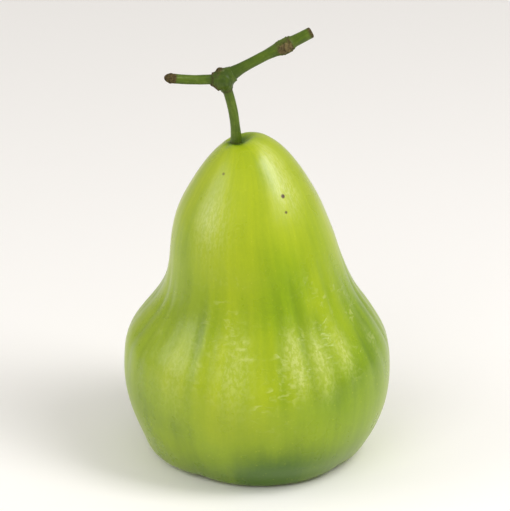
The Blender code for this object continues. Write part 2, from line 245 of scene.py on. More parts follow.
@dataclass
class Shell:
    """A closed surface before it is a mesh.

    Attributes:
        corners: One row of x, y, z for each corner.
        quads: Corner numbers of the four-sided faces.
        fans: Corner numbers of the triangles round the poles.
        fields: Named numbers for each corner, which materials read as attributes.
    """

    corners: Array
    quads: IntArray
    fans: IntArray
    fields: dict[str, Array] = field(default_factory=dict)

    @classmethod
    def from_rings(
        cls,
        rings: Array,
        fields: dict[str, Array] | None = None,
        poles: tuple[Array, Array] | None = None,
    ) -> Shell:
        """Closes a stack of rings with a pole at each end.

        Args:
            rings: Corners by ring and by place round the ring.
            fields: Named numbers by ring, or by ring and by place round it.
            poles: The corner before the first ring and the one after the last. If they aren't
                given, they are the middles of those rings.

        Returns:
            The closed surface.
        """
        rows, around = rings.shape[:2]
        grid = np.arange(rows * around).reshape(rows, around)
        beside = np.roll(grid, -1, axis=1)
        quads = np.stack([grid[:-1], grid[1:], beside[1:], beside[:-1]], axis=-1).reshape(-1, 4)
        first, last = np.full(around, rows * around), np.full(around, rows * around + 1)
        fans = np.concatenate(
            [
                np.stack([first, grid[0], beside[0]], axis=-1),
                np.stack([last, beside[-1], grid[-1]], axis=-1),
            ]
        )
        first_pole, last_pole = poles or (rings[0].mean(0), rings[-1].mean(0))
        corners = np.vstack([rings.reshape(-1, 3), first_pole, last_pole])
        kept = {}
        for name, values in (fields or {}).items():
            by_ring = values if values.ndim > 1 else values[:, None]
            full = np.broadcast_to(by_ring, (rows, around, *values.shape[2:]))
            full = full.reshape(rows, around, -1)
            kept[name] = np.vstack([*full, full[0].mean(0), full[-1].mean(0)])
        return cls(corners, quads, fans, kept).turned_outward()

    @classmethod
    def from_loop(cls, rings: Array) -> Shell:
        """Joins a stack of rings end to end into a closed loop.

        Args:
            rings: Corners by ring and by place round the ring.

        Returns:
            The closed surface.
        """
        rows, around = rings.shape[:2]
        grid = np.arange(rows * around).reshape(rows, around)
        ahead = np.roll(grid, -1, axis=0)
        quads = np.stack(
            [grid, ahead, np.roll(ahead, -1, axis=1), np.roll(grid, -1, axis=1)], axis=-1
        ).reshape(-1, 4)
        return cls(rings.reshape(-1, 3), quads, np.zeros((0, 3), int)).turned_outward()

    def turned_outward(self) -> Shell:
        """Flips every face if the surface encloses a negative volume."""
        halves = [self.quads[:, :3], self.quads[:, [0, 2, 3]], self.fans]
        a, b, c = (self.corners[np.concatenate(halves)[:, k]] for k in range(3))
        if np.einsum("ij,ij->i", a, np.cross(b, c)).sum() < 0.0:
            self.quads, self.fans = self.quads[:, ::-1], self.fans[:, ::-1]
        return self

    @staticmethod
    def joined(shells: Sequence[Shell]) -> Shell:
        """Puts several closed surfaces without fields into one.

        Args:
            shells: The surfaces.

        Returns:
            One surface that holds them all.
        """
        starts = np.cumsum([0] + [len(shell.corners) for shell in shells[:-1]])
        return Shell(
            np.vstack([shell.corners for shell in shells]),
            np.vstack([shell.quads + start for shell, start in zip(shells, starts)]),
            np.vstack([shell.fans + start for shell, start in zip(shells, starts)]),
        )

    def build(self, name: str) -> bpy.types.Object:
        """Makes the mesh, with its fields as point attributes.

        Args:
            name: Name of the object and of its mesh.

        Returns:
            The linked object, smooth-shaded.
        """
        mesh = bpy.data.meshes.new(name)
        mesh.from_pydata(self.corners, [], [*self.quads.tolist(), *self.fans.tolist()])
        mesh.shade_smooth()
        for label, values in self.fields.items():
            kind, slot = ("FLOAT_VECTOR", "vector") if values.shape[1] == 3 else ("FLOAT", "value")
            attribute = mesh.attributes.new(label, kind, "POINT")
            attribute.data.foreach_set(slot, values.astype(np.float32).ravel())
        return placed(bpy.data.objects.new(name, mesh))


def travelled(path: Array) -> Array:
    """Distance along a path at each of its points."""
    return np.concatenate([[0.0], np.cumsum(np.linalg.norm(np.diff(path, axis=0), axis=1))])


def swept(path: Array, size: Array, swell: Array, **fields: Array) -> Shell:
    """Carries a round profile along a path that never runs straight to the back.

    A corner is path + size * swell * (cos(phi) * out + sin(phi) * over), where out is the direction
    to the back with its part along the path taken away, and over is out x along. The field "grain"
    holds the rod straightened: the profile's own two coordinates, and the distance along the path.

    Args:
        path: Middle of each ring.
        size: Radius of each ring.
        swell: Factor on the radius, by ring and by place round it.
        **fields: More named numbers, by ring, or by ring and by place round it.

    Returns:
        The rod, closed at both ends.
    """
    along = unit(np.gradient(path, axis=0))
    out = unit(BACK - along * (along @ BACK)[:, None])
    over = np.cross(out, along)
    phi = full_turn(swell.shape[1])
    radius = size[:, None] * swell
    grain = spread(radius * np.cos(phi), radius * np.sin(phi), travelled(path)[:, None])
    rings = path[:, None, :] + grain[..., :1] * out[:, None, :] + grain[..., 1:2] * over[:, None, :]
    return Shell.from_rings(rings, {**fields, "grain": grain})


# --- Shader maths ---------------------------------------------------------------------------------


Number = Union["Signal", float]


class Signal:
    """A number that changes over a surface. Arithmetic on it adds Math nodes."""

    def __init__(self, bench: Bench, socket: bpy.types.NodeSocket) -> None:
        """Wraps an output socket of a node on a bench."""
        self.bench = bench
        self.socket = socket

    def math(self, operation: str, first: Number, second: Number, clamp: bool = False) -> Signal:
        """Adds one Math node and gives its result."""
        made = self.bench.node(
            "ShaderNodeMath", {"operation": operation, "use_clamp": clamp}, {0: first, 1: second}
        )
        return Signal(self.bench, made.outputs[0])

    def __add__(self, other: Number) -> Signal:
        """self + other."""
        return self.math("ADD", self, other)

    __radd__ = __add__

    def __sub__(self, other: Number) -> Signal:
        """self - other."""
        return self.math("SUBTRACT", self, other)

    def __rsub__(self, other: Number) -> Signal:
        """other - self."""
        return self.math("SUBTRACT", other, self)

    def __mul__(self, other: Number) -> Signal:
        """self * other."""
        return self.math("MULTIPLY", self, other)

    __rmul__ = __mul__

    def __abs__(self) -> Signal:
        """The size of self without its sign."""
        return self.math("ABSOLUTE", self, 0.0)

    def clamped(self) -> Signal:
        """self kept between 0 and 1."""
        return self.math("MULTIPLY", self, 1.0, clamp=True)

    def step(self, start: float, end: float) -> Signal:
        """Eases from 0 at start to 1 at end."""
        made = self.bench.node(
            "ShaderNodeMapRange",
            {"interpolation_type": "SMOOTHSTEP"},
            {"Value": self, "From Min": start, "From Max": end, "To Min": 0.0, "To Max": 1.0},
        )
        return Signal(self.bench, made.outputs["Result"])


class Bench:
    """Adds nodes to the tree of one new material."""

    def __init__(self, name: str) -> None:
        """Starts a material with an empty tree."""
        self.material = bpy.data.materials.new(name)
        self.material.use_nodes = True
        self.tree = self.material.node_tree
        self.tree.nodes.clear()

    def node(
        self,
        kind: str,
        settings: dict[str, Any] | None = None,
        inputs: dict[Any, Any] | None = None,
    ) -> bpy.types.Node:
        """Adds one node, with its settings made first and its sockets filled after.

        Args:
            kind: Blender's name of the node's type.
            settings: Properties of the node. The key "stops" holds a ramp's (place, colour) pairs.
            inputs: A number, a colour, a Signal or an output socket for each socket's name or
                number.

        Returns:
            The node.
        """
        made = self.tree.nodes.new(kind)
        for key, value in (settings or {}).items():
            if key == "stops":
                self._set_stops(made.color_ramp, value)
            else:
                setattr(made, key, value)
        for key, value in (inputs or {}).items():
            if isinstance(value, Signal):
                self.tree.links.new(value.socket, made.inputs[key])
            elif isinstance(value, bpy.types.NodeSocket):
                self.tree.links.new(value, made.inputs[key])
            else:
                made.inputs[key].default_value = value
        return made

    @staticmethod
    def _set_stops(ramp: bpy.types.ColorRamp, stops: Sequence[tuple[float, Colour]]) -> None:
        """Gives a ramp its stops."""
        while len(ramp.elements) < len(stops):
            ramp.elements.new(0.5)
        for element, (place, colour) in zip(ramp.elements, stops):
            element.position = place
            element.color = (*colour, 1.0)

    def attribute(self, name: str) -> bpy.types.Node:
        """The Attribute node that reads one of the mesh's fields."""
        return self.node("ShaderNodeAttribute", {"attribute_name": name})

    def field(self, name: str) -> Signal:
        """A single number from one of the mesh's fields."""
        return Signal(self, self.attribute(name).outputs["Fac"])

    def place(self) -> bpy.types.NodeSocket:
        """Object coordinates, in metres."""
        return self.node("ShaderNodeTexCoord").outputs["Object"]

    def stretched(
        self, vector: bpy.types.NodeSocket, scale: Sequence[float]
    ) -> bpy.types.NodeSocket:
        """A vector with each of its three numbers scaled."""
        made = self.node(
            "ShaderNodeVectorMath", {"operation": "MULTIPLY"}, {0: vector, 1: tuple(scale)}
        )
        return made.outputs[0]

    def noise(
        self,
        vector: bpy.types.NodeSocket,
        scale: float,
        detail: float = 2.0,
        rough: float = 0.5,
        warp: float = 0.0,
    ) -> Signal:
        """Smooth noise between 0 and 1.

        Args:
            vector: Where to read it.
            scale: Cells to a metre of the vector.
            detail: Octaves.
            rough: How strong the finer octaves are.
            warp: How much it distorts itself.

        Returns:
            The noise.
        """
        inputs = {"Vector": vector, "Scale": scale, "Detail": detail, "Roughness": rough}
        made = self.node("ShaderNodeTexNoise", None, {**inputs, "Distortion": warp})
        return Signal(self, made.outputs["Fac"])

    def cells(self, vector: bpy.types.NodeSocket, scale: float) -> Signal:
        """Distance to the middle of the nearest of many scattered cells."""
        made = self.node("ShaderNodeTexVoronoi", None, {"Vector": vector, "Scale": scale})
        return Signal(self, made.outputs["Distance"])

    def spot(self, place: bpy.types.NodeSocket, middle: Colour, radius: float) -> Signal:
        """A soft round spot: 1 at its middle, 0 past its radius."""
        made = self.node("ShaderNodeVectorMath", {"operation": "DISTANCE"}, {0: place, 1: middle})
        return Signal(self, made.outputs["Value"]).step(radius, 0.35 * radius)

    def ramp(self, value: Signal, *stops: tuple[float, Colour]) -> bpy.types.NodeSocket:
        """A colour that runs through the stops."""
        return self.node("ShaderNodeValToRGB", {"stops": stops}, {"Fac": value}).outputs["Color"]

    def mix(
        self, share: Number, first: Any, second: Any, blend: str = "MIX"
    ) -> bpy.types.NodeSocket:
        """Blends two colours.

        Args:
            share: How much of the second colour.
            first: A colour or a colour socket.
            second: A colour or a colour socket.
            blend: Blender's name for how they blend.

        Returns:
            The blended colour.
        """
        colours = [(*c, 1.0) if isinstance(c, tuple) else c for c in (first, second)]
        made = self.node(
            "ShaderNodeMix",
            {"data_type": "RGBA", "blend_type": blend, "clamp_factor": True},
            {0: share, 6: colours[0], 7: colours[1]},
        )
        return made.outputs[2]

    def bump(self, height: Signal, depth: float) -> bpy.types.NodeSocket:
        """A normal from a height.

        Args:
            height: The height, as a share of the depth.
            depth: The depth in metres that a height of 1 stands for.

        Returns:
            The normal.
        """
        made = self.node("ShaderNodeBump", None, {"Height": height, "Distance": depth})
        return made.outputs["Normal"]

    def finish(self, shader: dict[str, Any]) -> bpy.types.Material:
        """Ends the tree in a Principled shader.

        Args:
            shader: What each of the shader's sockets gets.

        Returns:
            The material.
        """
        surface = self.node("ShaderNodeBsdfPrincipled", None, shader)
        self.node("ShaderNodeOutputMaterial", None, {"Surface": surface.outputs["BSDF"]})
        return self.material


def hex_colour(code: str) -> Colour:
    """Turns a hex code of display colours into linear ones.

    Args:
        code: Six hex digits.

    Returns:
        Red, green and blue of the light, from 0 to 1.
    """
    display = np.array([int(code[i : i + 2], 16) / 255.0 for i in (0, 2, 4)])
    linear = np.where(display <= 0.04045, display / 12.92, ((display + 0.055) / 1.055) ** 2.4)
    return tuple(float(v) for v in linear)


# --- Finishes -------------------------------------------------------------------------------------


@dataclass(frozen=True)
class Speck:
    """A small brown mark on the skin.

    Attributes:
        middle: Where it is.
        radius: How far it reaches.
        strength: How dark it is, from 0 to 1.
    """

    middle: tuple[float, float, float]
    radius: float
    strength: float


@dataclass(frozen=True)
class SkinFinish:
    """Waxy yellow-green skin with lengthwise streaks, pale specks and a crinkled gloss, and with
    painted highlights and painted shade in its colour.

    It reads the fields "bell" (place on the bell, unrolled), "tone" (0 deep green, 1 yellow green,
    with painted shade in the pit and on some patches), "groove" (1 in a deep groove, painted darker
    as painted shade), "calyx" (1 on the rolled lobes), "basin" (1 inside the basin), "stain" (brown
    marks round the dried flower parts), "lush" (a deeper, more saturated green,
    partly the skin's own and partly painted shade on the right flank and at the foot),
    "bloom" (pale painted highlights), "crinkled" (where the skin is finely creased),
    "polish" (1 on the smooth neck) and "pit" (1 in the stalk pit). Scales are cells to a metre.

    Attributes:
        deep: Deepest green of the ramp that "tone" reads.
        mid: The body's green.
        bright: The neck's yellow green.
        pale: Palest end of the ramp, and the pores.
        painted_glint: Colour of the painted sheen and of the painted glints on the creases.
        lush: What the deeper, more saturated green is multiplied by; on the right
            flank and at the foot it is painted shade.
        lobe: The rolled lobes.
        inside: The basin.
        brown: Stains round the dried flower parts.
        spot: Middle of a brown speck.
        specks: The brown specks.
        streak_scale: Fine lengthwise streaks.
        broad_scale: Broad lengthwise streaks.
        mottle_scale: Clouds of lighter and darker skin.
        grain_scale: The finest grain.
        sheen_grain_scale: Grain of the painted sheen.
        crinkle_scale: Patches with and without creases.
        wrinkle_scale: The creases.
        pore_scale: Pale pores.
        fibre_scale: Veins on the lobes and fine lengthwise relief.
        relief: Depth of the bump.
    """

    deep: Colour = hex_colour("4d6c0a")
    mid: Colour = hex_colour("8ea410")
    bright: Colour = hex_colour("adbb12")
    pale: Colour = hex_colour("c0c63a")
    painted_glint: Colour = hex_colour("d3da88")
    lush: Colour = (0.91, 1.0, 0.05)
    lobe: Colour = hex_colour("bccb62")
    inside: Colour = hex_colour("8f9a4e")
    brown: Colour = hex_colour("5a4020")
    spot: Colour = hex_colour("4a2f0c")
    specks: tuple[Speck, ...] = ()
    streak_scale: float = 420.0
    broad_scale: float = 130.0
    mottle_scale: float = 110.0
    grain_scale: float = 1500.0
    sheen_grain_scale: float = 1300.0
    crinkle_scale: float = 190.0
    wrinkle_scale: float = 720.0
    pore_scale: float = 620.0
    fibre_scale: float = 900.0
    relief: float = 0.16 * MM

    def material(self) -> bpy.types.Material:
        """Builds the skin's nodes."""
        bench = Bench("skin")
        place = bench.place()
        bell = bench.attribute("bell").outputs["Vector"]
        groove, calyx, basin = bench.field("groove"), bench.field("calyx"), bench.field("basin")
        pit = bench.field("pit")

        streak = bench.noise(bench.stretched(bell, (1.0, 1.0, 0.10)), self.streak_scale, 3.0, 0.55)
        broad_streak = bench.noise(bench.stretched(bell, (1.0, 1.0, 0.16)), self.broad_scale)
        mottle = bench.noise(place, self.mottle_scale, 3.0, 0.6)
        grain = bench.noise(place, self.grain_scale, 2.0, 0.6)
        tone = (
            bench.field("tone")
            + (streak - 0.5) * 0.26 * (1.0 - 0.6 * calyx)
            + (broad_streak - 0.5) * 0.30
            + (mottle - 0.5) * 0.20
            + (grain - 0.5) * 0.12
            # Grooves painted darker: painted shade in the grooves.
            - groove * 0.12
        )
        colour = bench.ramp(
            tone, (0.0, self.deep), (0.45, self.mid), (0.78, self.bright), (1.0, self.pale)
        )
        # A deeper, saturated green: partly the skin's own green, partly painted shade on the right
        # flank and at the foot.
        lush_shade_share = bench.field("lush") * (0.6 + 0.8 * mottle)
        colour = bench.mix(lush_shade_share, colour, self.lush, "MULTIPLY")
        # Pale painted sheen: painted highlights mixed into the colour where the patches put them,
        # grained by noise.
        sheen_grain = bench.noise(bench.stretched(bell, (1.0, 1.0, 0.6)), self.sheen_grain_scale, 3.0, 0.65)
        bloom = bench.field("bloom") * (0.35 + 0.75 * sheen_grain.step(0.42, 0.62))
        colour = bench.mix(bloom.clamped(), colour, self.painted_glint)
        crinkled = bench.noise(place, self.crinkle_scale, 1.0).step(0.34, 0.56)
        crinkled = bench.field("crinkled") * crinkled
        wide_cells = bench.stretched(bell, (0.62, 0.62, 1.0))
        wrinkle = bench.noise(wide_cells, self.wrinkle_scale, warp=0.8)
        crease = (1.0 - abs(wrinkle - 0.5) * 7.0).clamped()
        # Painted glints: pale flecks on the crinkled skin that stand for creases catching the
        # light.
        painted_glints = (wrinkle.step(0.50, 0.72) * crinkled * mottle.step(0.42, 0.62)).clamped()
        colour = bench.mix(painted_glints * 0.36, colour, self.painted_glint)
        pores = bench.cells(place, self.pore_scale).step(0.16, 0.05)
        colour = bench.mix(pores * 0.28 * (1.0 - basin), colour, self.pale)
        colour = bench.mix(calyx * 0.62 * (0.75 + 0.5 * mottle), colour, self.lobe)
        veins = bench.noise(bench.stretched(bell, (1.0, 1.0, 0.25)), self.fibre_scale, 2.0, 0.6)
        colour = bench.mix(veins.step(0.52, 0.72) * calyx * 0.35, colour, self.mid)
        colour = bench.mix(basin * 0.9, colour, self.inside)
        stain = (bench.field("stain") * (0.4 + 1.1 * mottle)).clamped()
        colour = bench.mix(stain, colour, self.brown)
        for speck in self.specks:
            mark = bench.spot(place, speck.middle, speck.radius) * speck.strength
            colour = bench.mix(mark, colour, self.spot)

        fibre = bench.noise(bench.stretched(bell, (1.0, 1.0, 0.08)), self.fibre_scale)
        height = (
            (wrinkle - 0.5) * (0.10 + 1.0 * crinkled)
            - crease * crinkled * 0.08
            + (fibre - 0.5) * 0.14
            + (mottle - 0.5) * 0.20
            + (grain - 0.5) * 0.07
        )
        roughness = 0.29 + (mottle - 0.5) * 0.16 + basin * 0.25 + calyx * 0.08 + pit * 0.35
        wax = (0.06 + 0.22 * bench.field("polish")) * (1.0 - basin) * (1.0 - pit)
        return bench.finish(
            {
                "Base Color": colour,
                "Roughness": roughness.clamped(),
                "Specular IOR Level": 0.36,
                "Subsurface Weight": 0.12,
                "Subsurface Radius": (1.0, 1.0, 0.35),
                "Subsurface Scale": 2.2 * MM,
                "Coat Weight": wax.clamped(),
                "Coat Roughness": 0.26,
                "Coat IOR": 1.5,
                "Normal": bench.bump(height, self.relief),
            }
        )


@dataclass(frozen=True)
class BarkFinish:
    """Smooth young green bark with fine lengthwise lines, lenticels and brown scars.

    It reads the fields "grain" (the rod straightened), "scar" (1 where the bark is brown and dry)
    and "deep" (1 where the green is darkest). Scales are cells to a metre.

    Attributes:
        name: Name of the material.
        shade: Darkest green.
        green: The bark's own green.
        light: Palest green, and the lenticels.
        scar: Light brown of the scars.
        dark: Dark brown of the scars.
        line_scale: Fine lengthwise lines.
        blotch_scale: Clouds of lighter and darker bark.
        pore_scale: Lenticels.
        crust_scale: Grain of the scars.
        relief: Depth of the bump.
    """

    name: str
    shade: Colour = hex_colour("34480a")
    green: Colour = hex_colour("52680f")
    light: Colour = hex_colour("77863a")
    scar: Colour = hex_colour("61532c")
    dark: Colour = hex_colour("251f10")
    line_scale: float = 2600.0
    blotch_scale: float = 480.0
    pore_scale: float = 1500.0
    crust_scale: float = 2300.0
    relief: float = 0.12 * MM

    def material(self) -> bpy.types.Material:
        """Builds the bark's nodes."""
        bench = Bench(self.name)
        place = bench.place()
        grain = bench.attribute("grain").outputs["Vector"]
        lines = bench.noise(bench.stretched(grain, (1.0, 1.0, 0.12)), self.line_scale, 3.0, 0.6)
        blotch = bench.noise(place, self.blotch_scale, 3.0, 0.6)
        shades = lines * 0.55 + blotch * 0.55 - 0.05
        colour = bench.ramp(shades, (0.2, self.shade), (0.55, self.green), (0.85, self.light))
        pores = bench.cells(bench.stretched(grain, (1.0, 1.0, 0.5)), self.pore_scale)
        pores = pores.step(0.22, 0.10)
        colour = bench.mix(pores * 0.30, colour, self.light)
        colour = bench.mix(bench.field("deep") * 0.85, colour, self.shade)
        scar = bench.field("scar")
        scar = (scar + (blotch - 0.5) * 0.7 * scar).clamped()
        crust = bench.noise(place, self.crust_scale, 3.0, 0.65)
        colour = bench.mix(scar, colour, bench.ramp(crust, (0.3, self.dark), (0.7, self.scar)))
        rough_scar = (bench.noise(place, self.crust_scale) - 0.5) * scar
        height = (lines - 0.5) * 0.5 + pores * 0.3 + rough_scar * 1.4
        return bench.finish(
            {
                "Base Color": colour,
                "Roughness": (0.46 + scar * 0.38).clamped(),
                "Specular IOR Level": 0.28,
                "Coat Weight": ((1.0 - scar) * 0.06).clamped(),
                "Coat Roughness": 0.3,
                "Normal": bench.bump(height, self.relief),
            }
        )


@dataclass(frozen=True)
class DryFinish:
    """Dead, fibrous plant matter without gloss, darkest where the field "gap" is 1.

    Attributes:
        name: Name of the material.
        dark: Darkest brown.
        light: Lightest brown.
        scale: Cells of its fine grain to a metre.
        relief: Depth of the bump.
    """

    name: str
    dark: Colour
    light: Colour
    scale: float = 1800.0
    relief: float = 0.12 * MM

    def material(self) -> bpy.types.Material:
        """Builds the dry matter's nodes."""
        bench = Bench(self.name)
        place = bench.place()
        coarse = bench.noise(place, 0.35 * self.scale, 3.0, 0.6)
        fine = bench.noise(place, self.scale, 3.0, 0.65)
        colour = bench.ramp(0.5 * coarse + 0.5 * fine, (0.32, self.dark), (0.66, self.light))
        return bench.finish(
            {
                "Base Color": bench.mix(bench.field("gap") * 0.8, colour, self.dark),
                "Roughness": (0.78 + (fine - 0.5) * 0.2).clamped(),
                "Specular IOR Level": 0.3,
                "Normal": bench.bump(0.6 * coarse + 0.4 * fine, self.relief),
            }
        )


# --- Fruit ----------------------------------------------------------------------------------------


@dataclass(frozen=True)
class Groove:
    """A lengthwise groove between two ribs.

    Attributes:
        turn: Its direction, in degrees.
        width: Half width, in degrees.
        depth: Depth in metres.
        top: Share of the height where it has faded out.
    """

    turn: float
    width: float
    depth: float
    top: float = 0.62


@dataclass(frozen=True)
class Patch:
    """A broad, soft patch where the skin's colour differs. Some patches are changes of the skin's
    own colour, some are painted shade and some are painted highlights.

    Attributes:
        turn: Direction of its middle, in degrees.
        share: Height of its middle, as a share of the fruit's.
        wide: Half width, in degrees.
        tall: Half height, as a share.
        tone: How much yellower it is; less than 0 is a deeper green, which on some patches is
            painted shade.
        lush: How much of the deeper, saturated green it has, which on the right
            flank and at the foot is painted shade.
        bloom: How much pale painted highlight lies on it.
    """

    turn: float
    share: float
    wide: float
    tall: float
    tone: float
    lush: float = 0.0
    bloom: float = 0.0


@dataclass
class Fruit:
    """The bell of the fruit with its stalk pit, its four rolled calyx lobes and the basin.

    Attributes:
        height: Foot to the crest of the neck.
        radius: At the widest ring.
        crown_drop: How steeply the neck's paraboloid falls.
        lean: How far the neck leans to the left.
        pit_offset: How far the pit lies to the left of the neck's middle.
        pit_spread: How far from the pit that shift reaches.
        pit_depth: Depth of the pit.
        pit_floor: Radius of the pit's level floor.
        pit_mouth: Radius of the pit's rim.
        wall: (share of the radius, share of the height) rows from the neck down to the foot.
        crown: Shares of the radius where the neck's paraboloid is read.
        lobes: Number of calyx lobes.
        notch: Direction of the first notch between lobes, in radians.
        mouth: Radius of the opening between the lobes.
        lobe_height: Height of a rolled lobe.
        foot_width: Width of the flat that a lobe stands on.
        foot_press: How far that flat is pressed in.
        notch_lift: Height of a notch's lowest point.
        basin_radius: Radius of the basin behind the lobes.
        basin_depth: Depth of the basin above the foot.
        squareness: How straight a lobe runs between its notches.
        roundness: How softly a lobe dips into its notches.
        grooves: The grooves on the front and the sides.
        patches: The patches of colour, some of which are painted shade and painted highlights.
        hidden_grooves: Number of grooves round the back.
        hidden_seed: Picks the grooves round the back.
        swell: How far the body stands out all round.
        unevenness: Height of the slow waves round the body.
        shoulder_left: How far the left shoulder stands out.
        shoulder_right: How far the right shoulder stands out.
        foot_left: How far the foot stands out on the left.
        foot_front: How far the foot is drawn in at the front.
        waist: How far the waist is drawn in at the sides.
        valley_depth: Depth of the valleys over the notches.
        valley_end: Share of the height where they have faded out.
        puff: How far the lobes puff inwards.
        fold: Depth of the folds round the pit.
        rings: Rings from pole to pole.
        columns: Corners in a ring.
    """

    height: float
    radius: float
    crown_drop: float = 0.761
    lean: float = 1.7 * MM
    pit_offset: float = 3.3 * MM
    pit_spread: float = 6.0 * MM
    pit_depth: float = 1.15 * MM
    pit_floor: float = 0.9 * MM
    pit_mouth: float = 3.5 * MM
    wall: tuple[tuple[float, float], ...] = (
        (0.612, 0.694),
        (0.662, 0.600),
        (0.740, 0.508),
        (0.862, 0.422),
        (0.968, 0.342),
        (1.000, 0.268),
        (0.980, 0.190),
        (0.922, 0.118),
        (0.842, 0.058),
    )
    crown: tuple[float, ...] = (0.15, 0.19, 0.27, 0.36, 0.455, 0.545)
    lobes: int = 4
    notch: float = math.radians(-36)
    mouth: float = 9.6 * MM
    lobe_height: float = 8.2 * MM
    foot_width: float = 4.4 * MM
    foot_press: float = 0.3 * MM
    notch_lift: float = 1.8 * MM
    basin_radius: float = 15.6 * MM
    basin_depth: float = 20.0 * MM
    squareness: float = 2.6
    roundness: float = 0.6
    grooves: tuple[Groove, ...] = (
        Groove(-78.0, 3.4, 0.22 * MM, 0.66),
        Groove(-66.0, 3.2, 0.20 * MM),
        Groove(-56.5, 2.6, 0.10 * MM, 0.60),
        Groove(-48.0, 2.2, 0.08 * MM, 0.56),
        Groove(-41.0, 2.0, 0.07 * MM, 0.56),
        Groove(-34.0, 2.6, 0.16 * MM, 0.66),
        Groove(-23.5, 2.8, 0.20 * MM, 0.60),
        Groove(-15.0, 2.1, 0.16 * MM, 0.58),
        Groove(-7.0, 2.4, 0.17 * MM, 0.66),
        Groove(-1.5, 2.0, 0.09 * MM, 0.56),
        Groove(5.5, 2.2, 0.14 * MM, 0.60),
        Groove(11.5, 2.8, 0.24 * MM, 0.66),
        Groove(25.5, 3.1, 0.30 * MM, 0.74),
        Groove(38.5, 3.1, 0.30 * MM, 0.74),
        Groove(51.0, 3.0, 0.17 * MM, 0.70),
        Groove(62.0, 2.9, 0.10 * MM),
        Groove(73.5, 3.2, 0.12 * MM, 0.66),
    )
    patches: tuple[Patch, ...] = (
        Patch(-15.0, 0.40, 14.0, 0.15, 0.14),
        Patch(-1.0, 0.30, 12.0, 0.10, 0.0),
        # Painted shade along the groove at -34 degrees.
        Patch(-34.5, 0.48, 4.0, 0.06, -0.14),
        Patch(-44.0, 0.38, 8.0, 0.07, 0.10),
        # Painted shade on the left flank.
        Patch(-64.0, 0.34, 13.0, 0.15, -0.15),
        Patch(-44.0, 0.20, 12.0, 0.06, -0.16),
        Patch(-60.0, 0.70, 18.0, 0.13, -0.16),
        Patch(24.0, 0.66, 18.0, 0.10, -0.12, 0.80),
        Patch(16.0, 0.55, 14.0, 0.07, 0.0, 0.90),
        Patch(50.0, 0.51, 17.0, 0.12, 0.16, 0.35),
        # Painted shade and a saturated green on the right edge.
        Patch(80.0, 0.50, 14.0, 0.13, -0.12, 0.60),
        Patch(3.0, 0.36, 6.0, 0.06, 0.08),
        # Painted highlights on the ribs at the front right.
        Patch(18.5, 0.450, 4.5, 0.060, 0.04, 0.0, 0.52),
        Patch(21.0, 0.375, 3.5, 0.045, 0.05, 0.0, 0.42),
        Patch(5.5, 0.44, 4.5, 0.07, 0.09),
        # Painted shade below a painted highlight on the rib at 36 degrees.
        Patch(36.0, 0.50, 4.0, 0.03, -0.10),
        Patch(36.0, 0.56, 4.0, 0.035, 0.12),
        Patch(34.0, 0.30, 8.0, 0.045, -0.14, 0.30),
        Patch(-26.0, 0.31, 9.0, 0.09, 0.08),
        Patch(-64.0, 0.22, 10.0, 0.06, -0.12),
        # Painted highlights on the ribs at 32 and 47 degrees.
        Patch(32.5, 0.405, 5.0, 0.080, 0.06, 0.0, 0.50),
        Patch(47.0, 0.415, 4.5, 0.060, 0.12, 0.0, 0.50),
        Patch(-15.5, 0.59, 4.5, 0.06, 0.10),
        Patch(11.0, 0.74, 8.0, 0.06, -0.07),
        Patch(62.0, 0.74, 16.0, 0.10, -0.08, 0.35),
        # Painted shade that dims the highlight near the crest.
        Patch(24.0, 0.92, 13.0, 0.045, -0.16),
        # Painted highlight at the top of the neck.
        Patch(48.0, 0.955, 16.0, 0.035, 0.10, 0.0, 0.45),
        # Painted shade on the lower right flank.
        Patch(48.0, 0.345, 9.0, 0.045, -0.16, 0.45),
        Patch(60.0, 0.39, 8.0, 0.05, -0.10, 0.35),
        Patch(10.0, 0.50, 7.0, 0.06, 0.08),
        # Painted highlights on the front left, the left flank and both sides of the neck.
        Patch(-12.0, 0.40, 9.0, 0.10, 0.0, 0.0, 0.30),
        Patch(-42.0, 0.37, 11.0, 0.11, 0.02, 0.0, 0.22),
        Patch(-35.0, 0.80, 15.0, 0.09, -0.02, 0.0, 0.42),
        Patch(42.0, 0.88, 15.0, 0.06, 0.06, 0.0, 0.55),
        Patch(-20.0, 0.34, 9.0, 0.20, 0.10),
        # Painted shade on the right flank and low on the right.
        Patch(72.0, 0.37, 22.0, 0.13, -0.16, 0.60),
        Patch(38.0, 0.25, 22.0, 0.09, -0.08, 0.60),
        # Painted shade at the foot, with a saturated green on the right.
        Patch(8.0, 0.02, 38.0, 0.10, -0.45, 0.80),
        Patch(12.0, 0.11, 27.0, 0.065, -0.18, 0.40),
        Patch(58.0, 0.16, 30.0, 0.12, 0.10, 0.60),
        Patch(150.0, 0.45, 22.0, 0.16, 0.16),
        Patch(-135.0, 0.62, 18.0, 0.12, -0.14, 0.40),
        Patch(115.0, 0.68, 20.0, 0.10, 0.10, 0.25),
        # Painted highlights round the back.
        Patch(135.0, 0.42, 7.0, 0.10, 0.05, 0.0, 0.45),
        Patch(-128.0, 0.38, 9.0, 0.10, 0.04, 0.0, 0.40),
        Patch(-110.0, 0.34, 16.0, 0.12, 0.10),
        Patch(-160.0, 0.24, 22.0, 0.08, -0.12, 0.40),
    )
    hidden_grooves: int = 16
    hidden_seed: int = 17
    swell: float = 0.45 * MM
    unevenness: float = 0.20 * MM
    shoulder_left: float = 1.25 * MM
    shoulder_right: float = 0.5 * MM
    foot_left: float = 1.0 * MM
    foot_front: float = 1.3 * MM
    waist: float = 0.45 * MM
    valley_depth: float = 0.55 * MM
    valley_end: float = 0.5
    puff: float = 0.35 * MM
    fold: float = 0.16 * MM
    rings: int = 200
    columns: int = 480

    def crown_fall(self, offset: Array) -> Array:
        """Drop of the neck's paraboloid: crown_drop * height * (offset / radius)^2."""
        return self.crown_drop * self.height * (offset / self.radius) ** 2

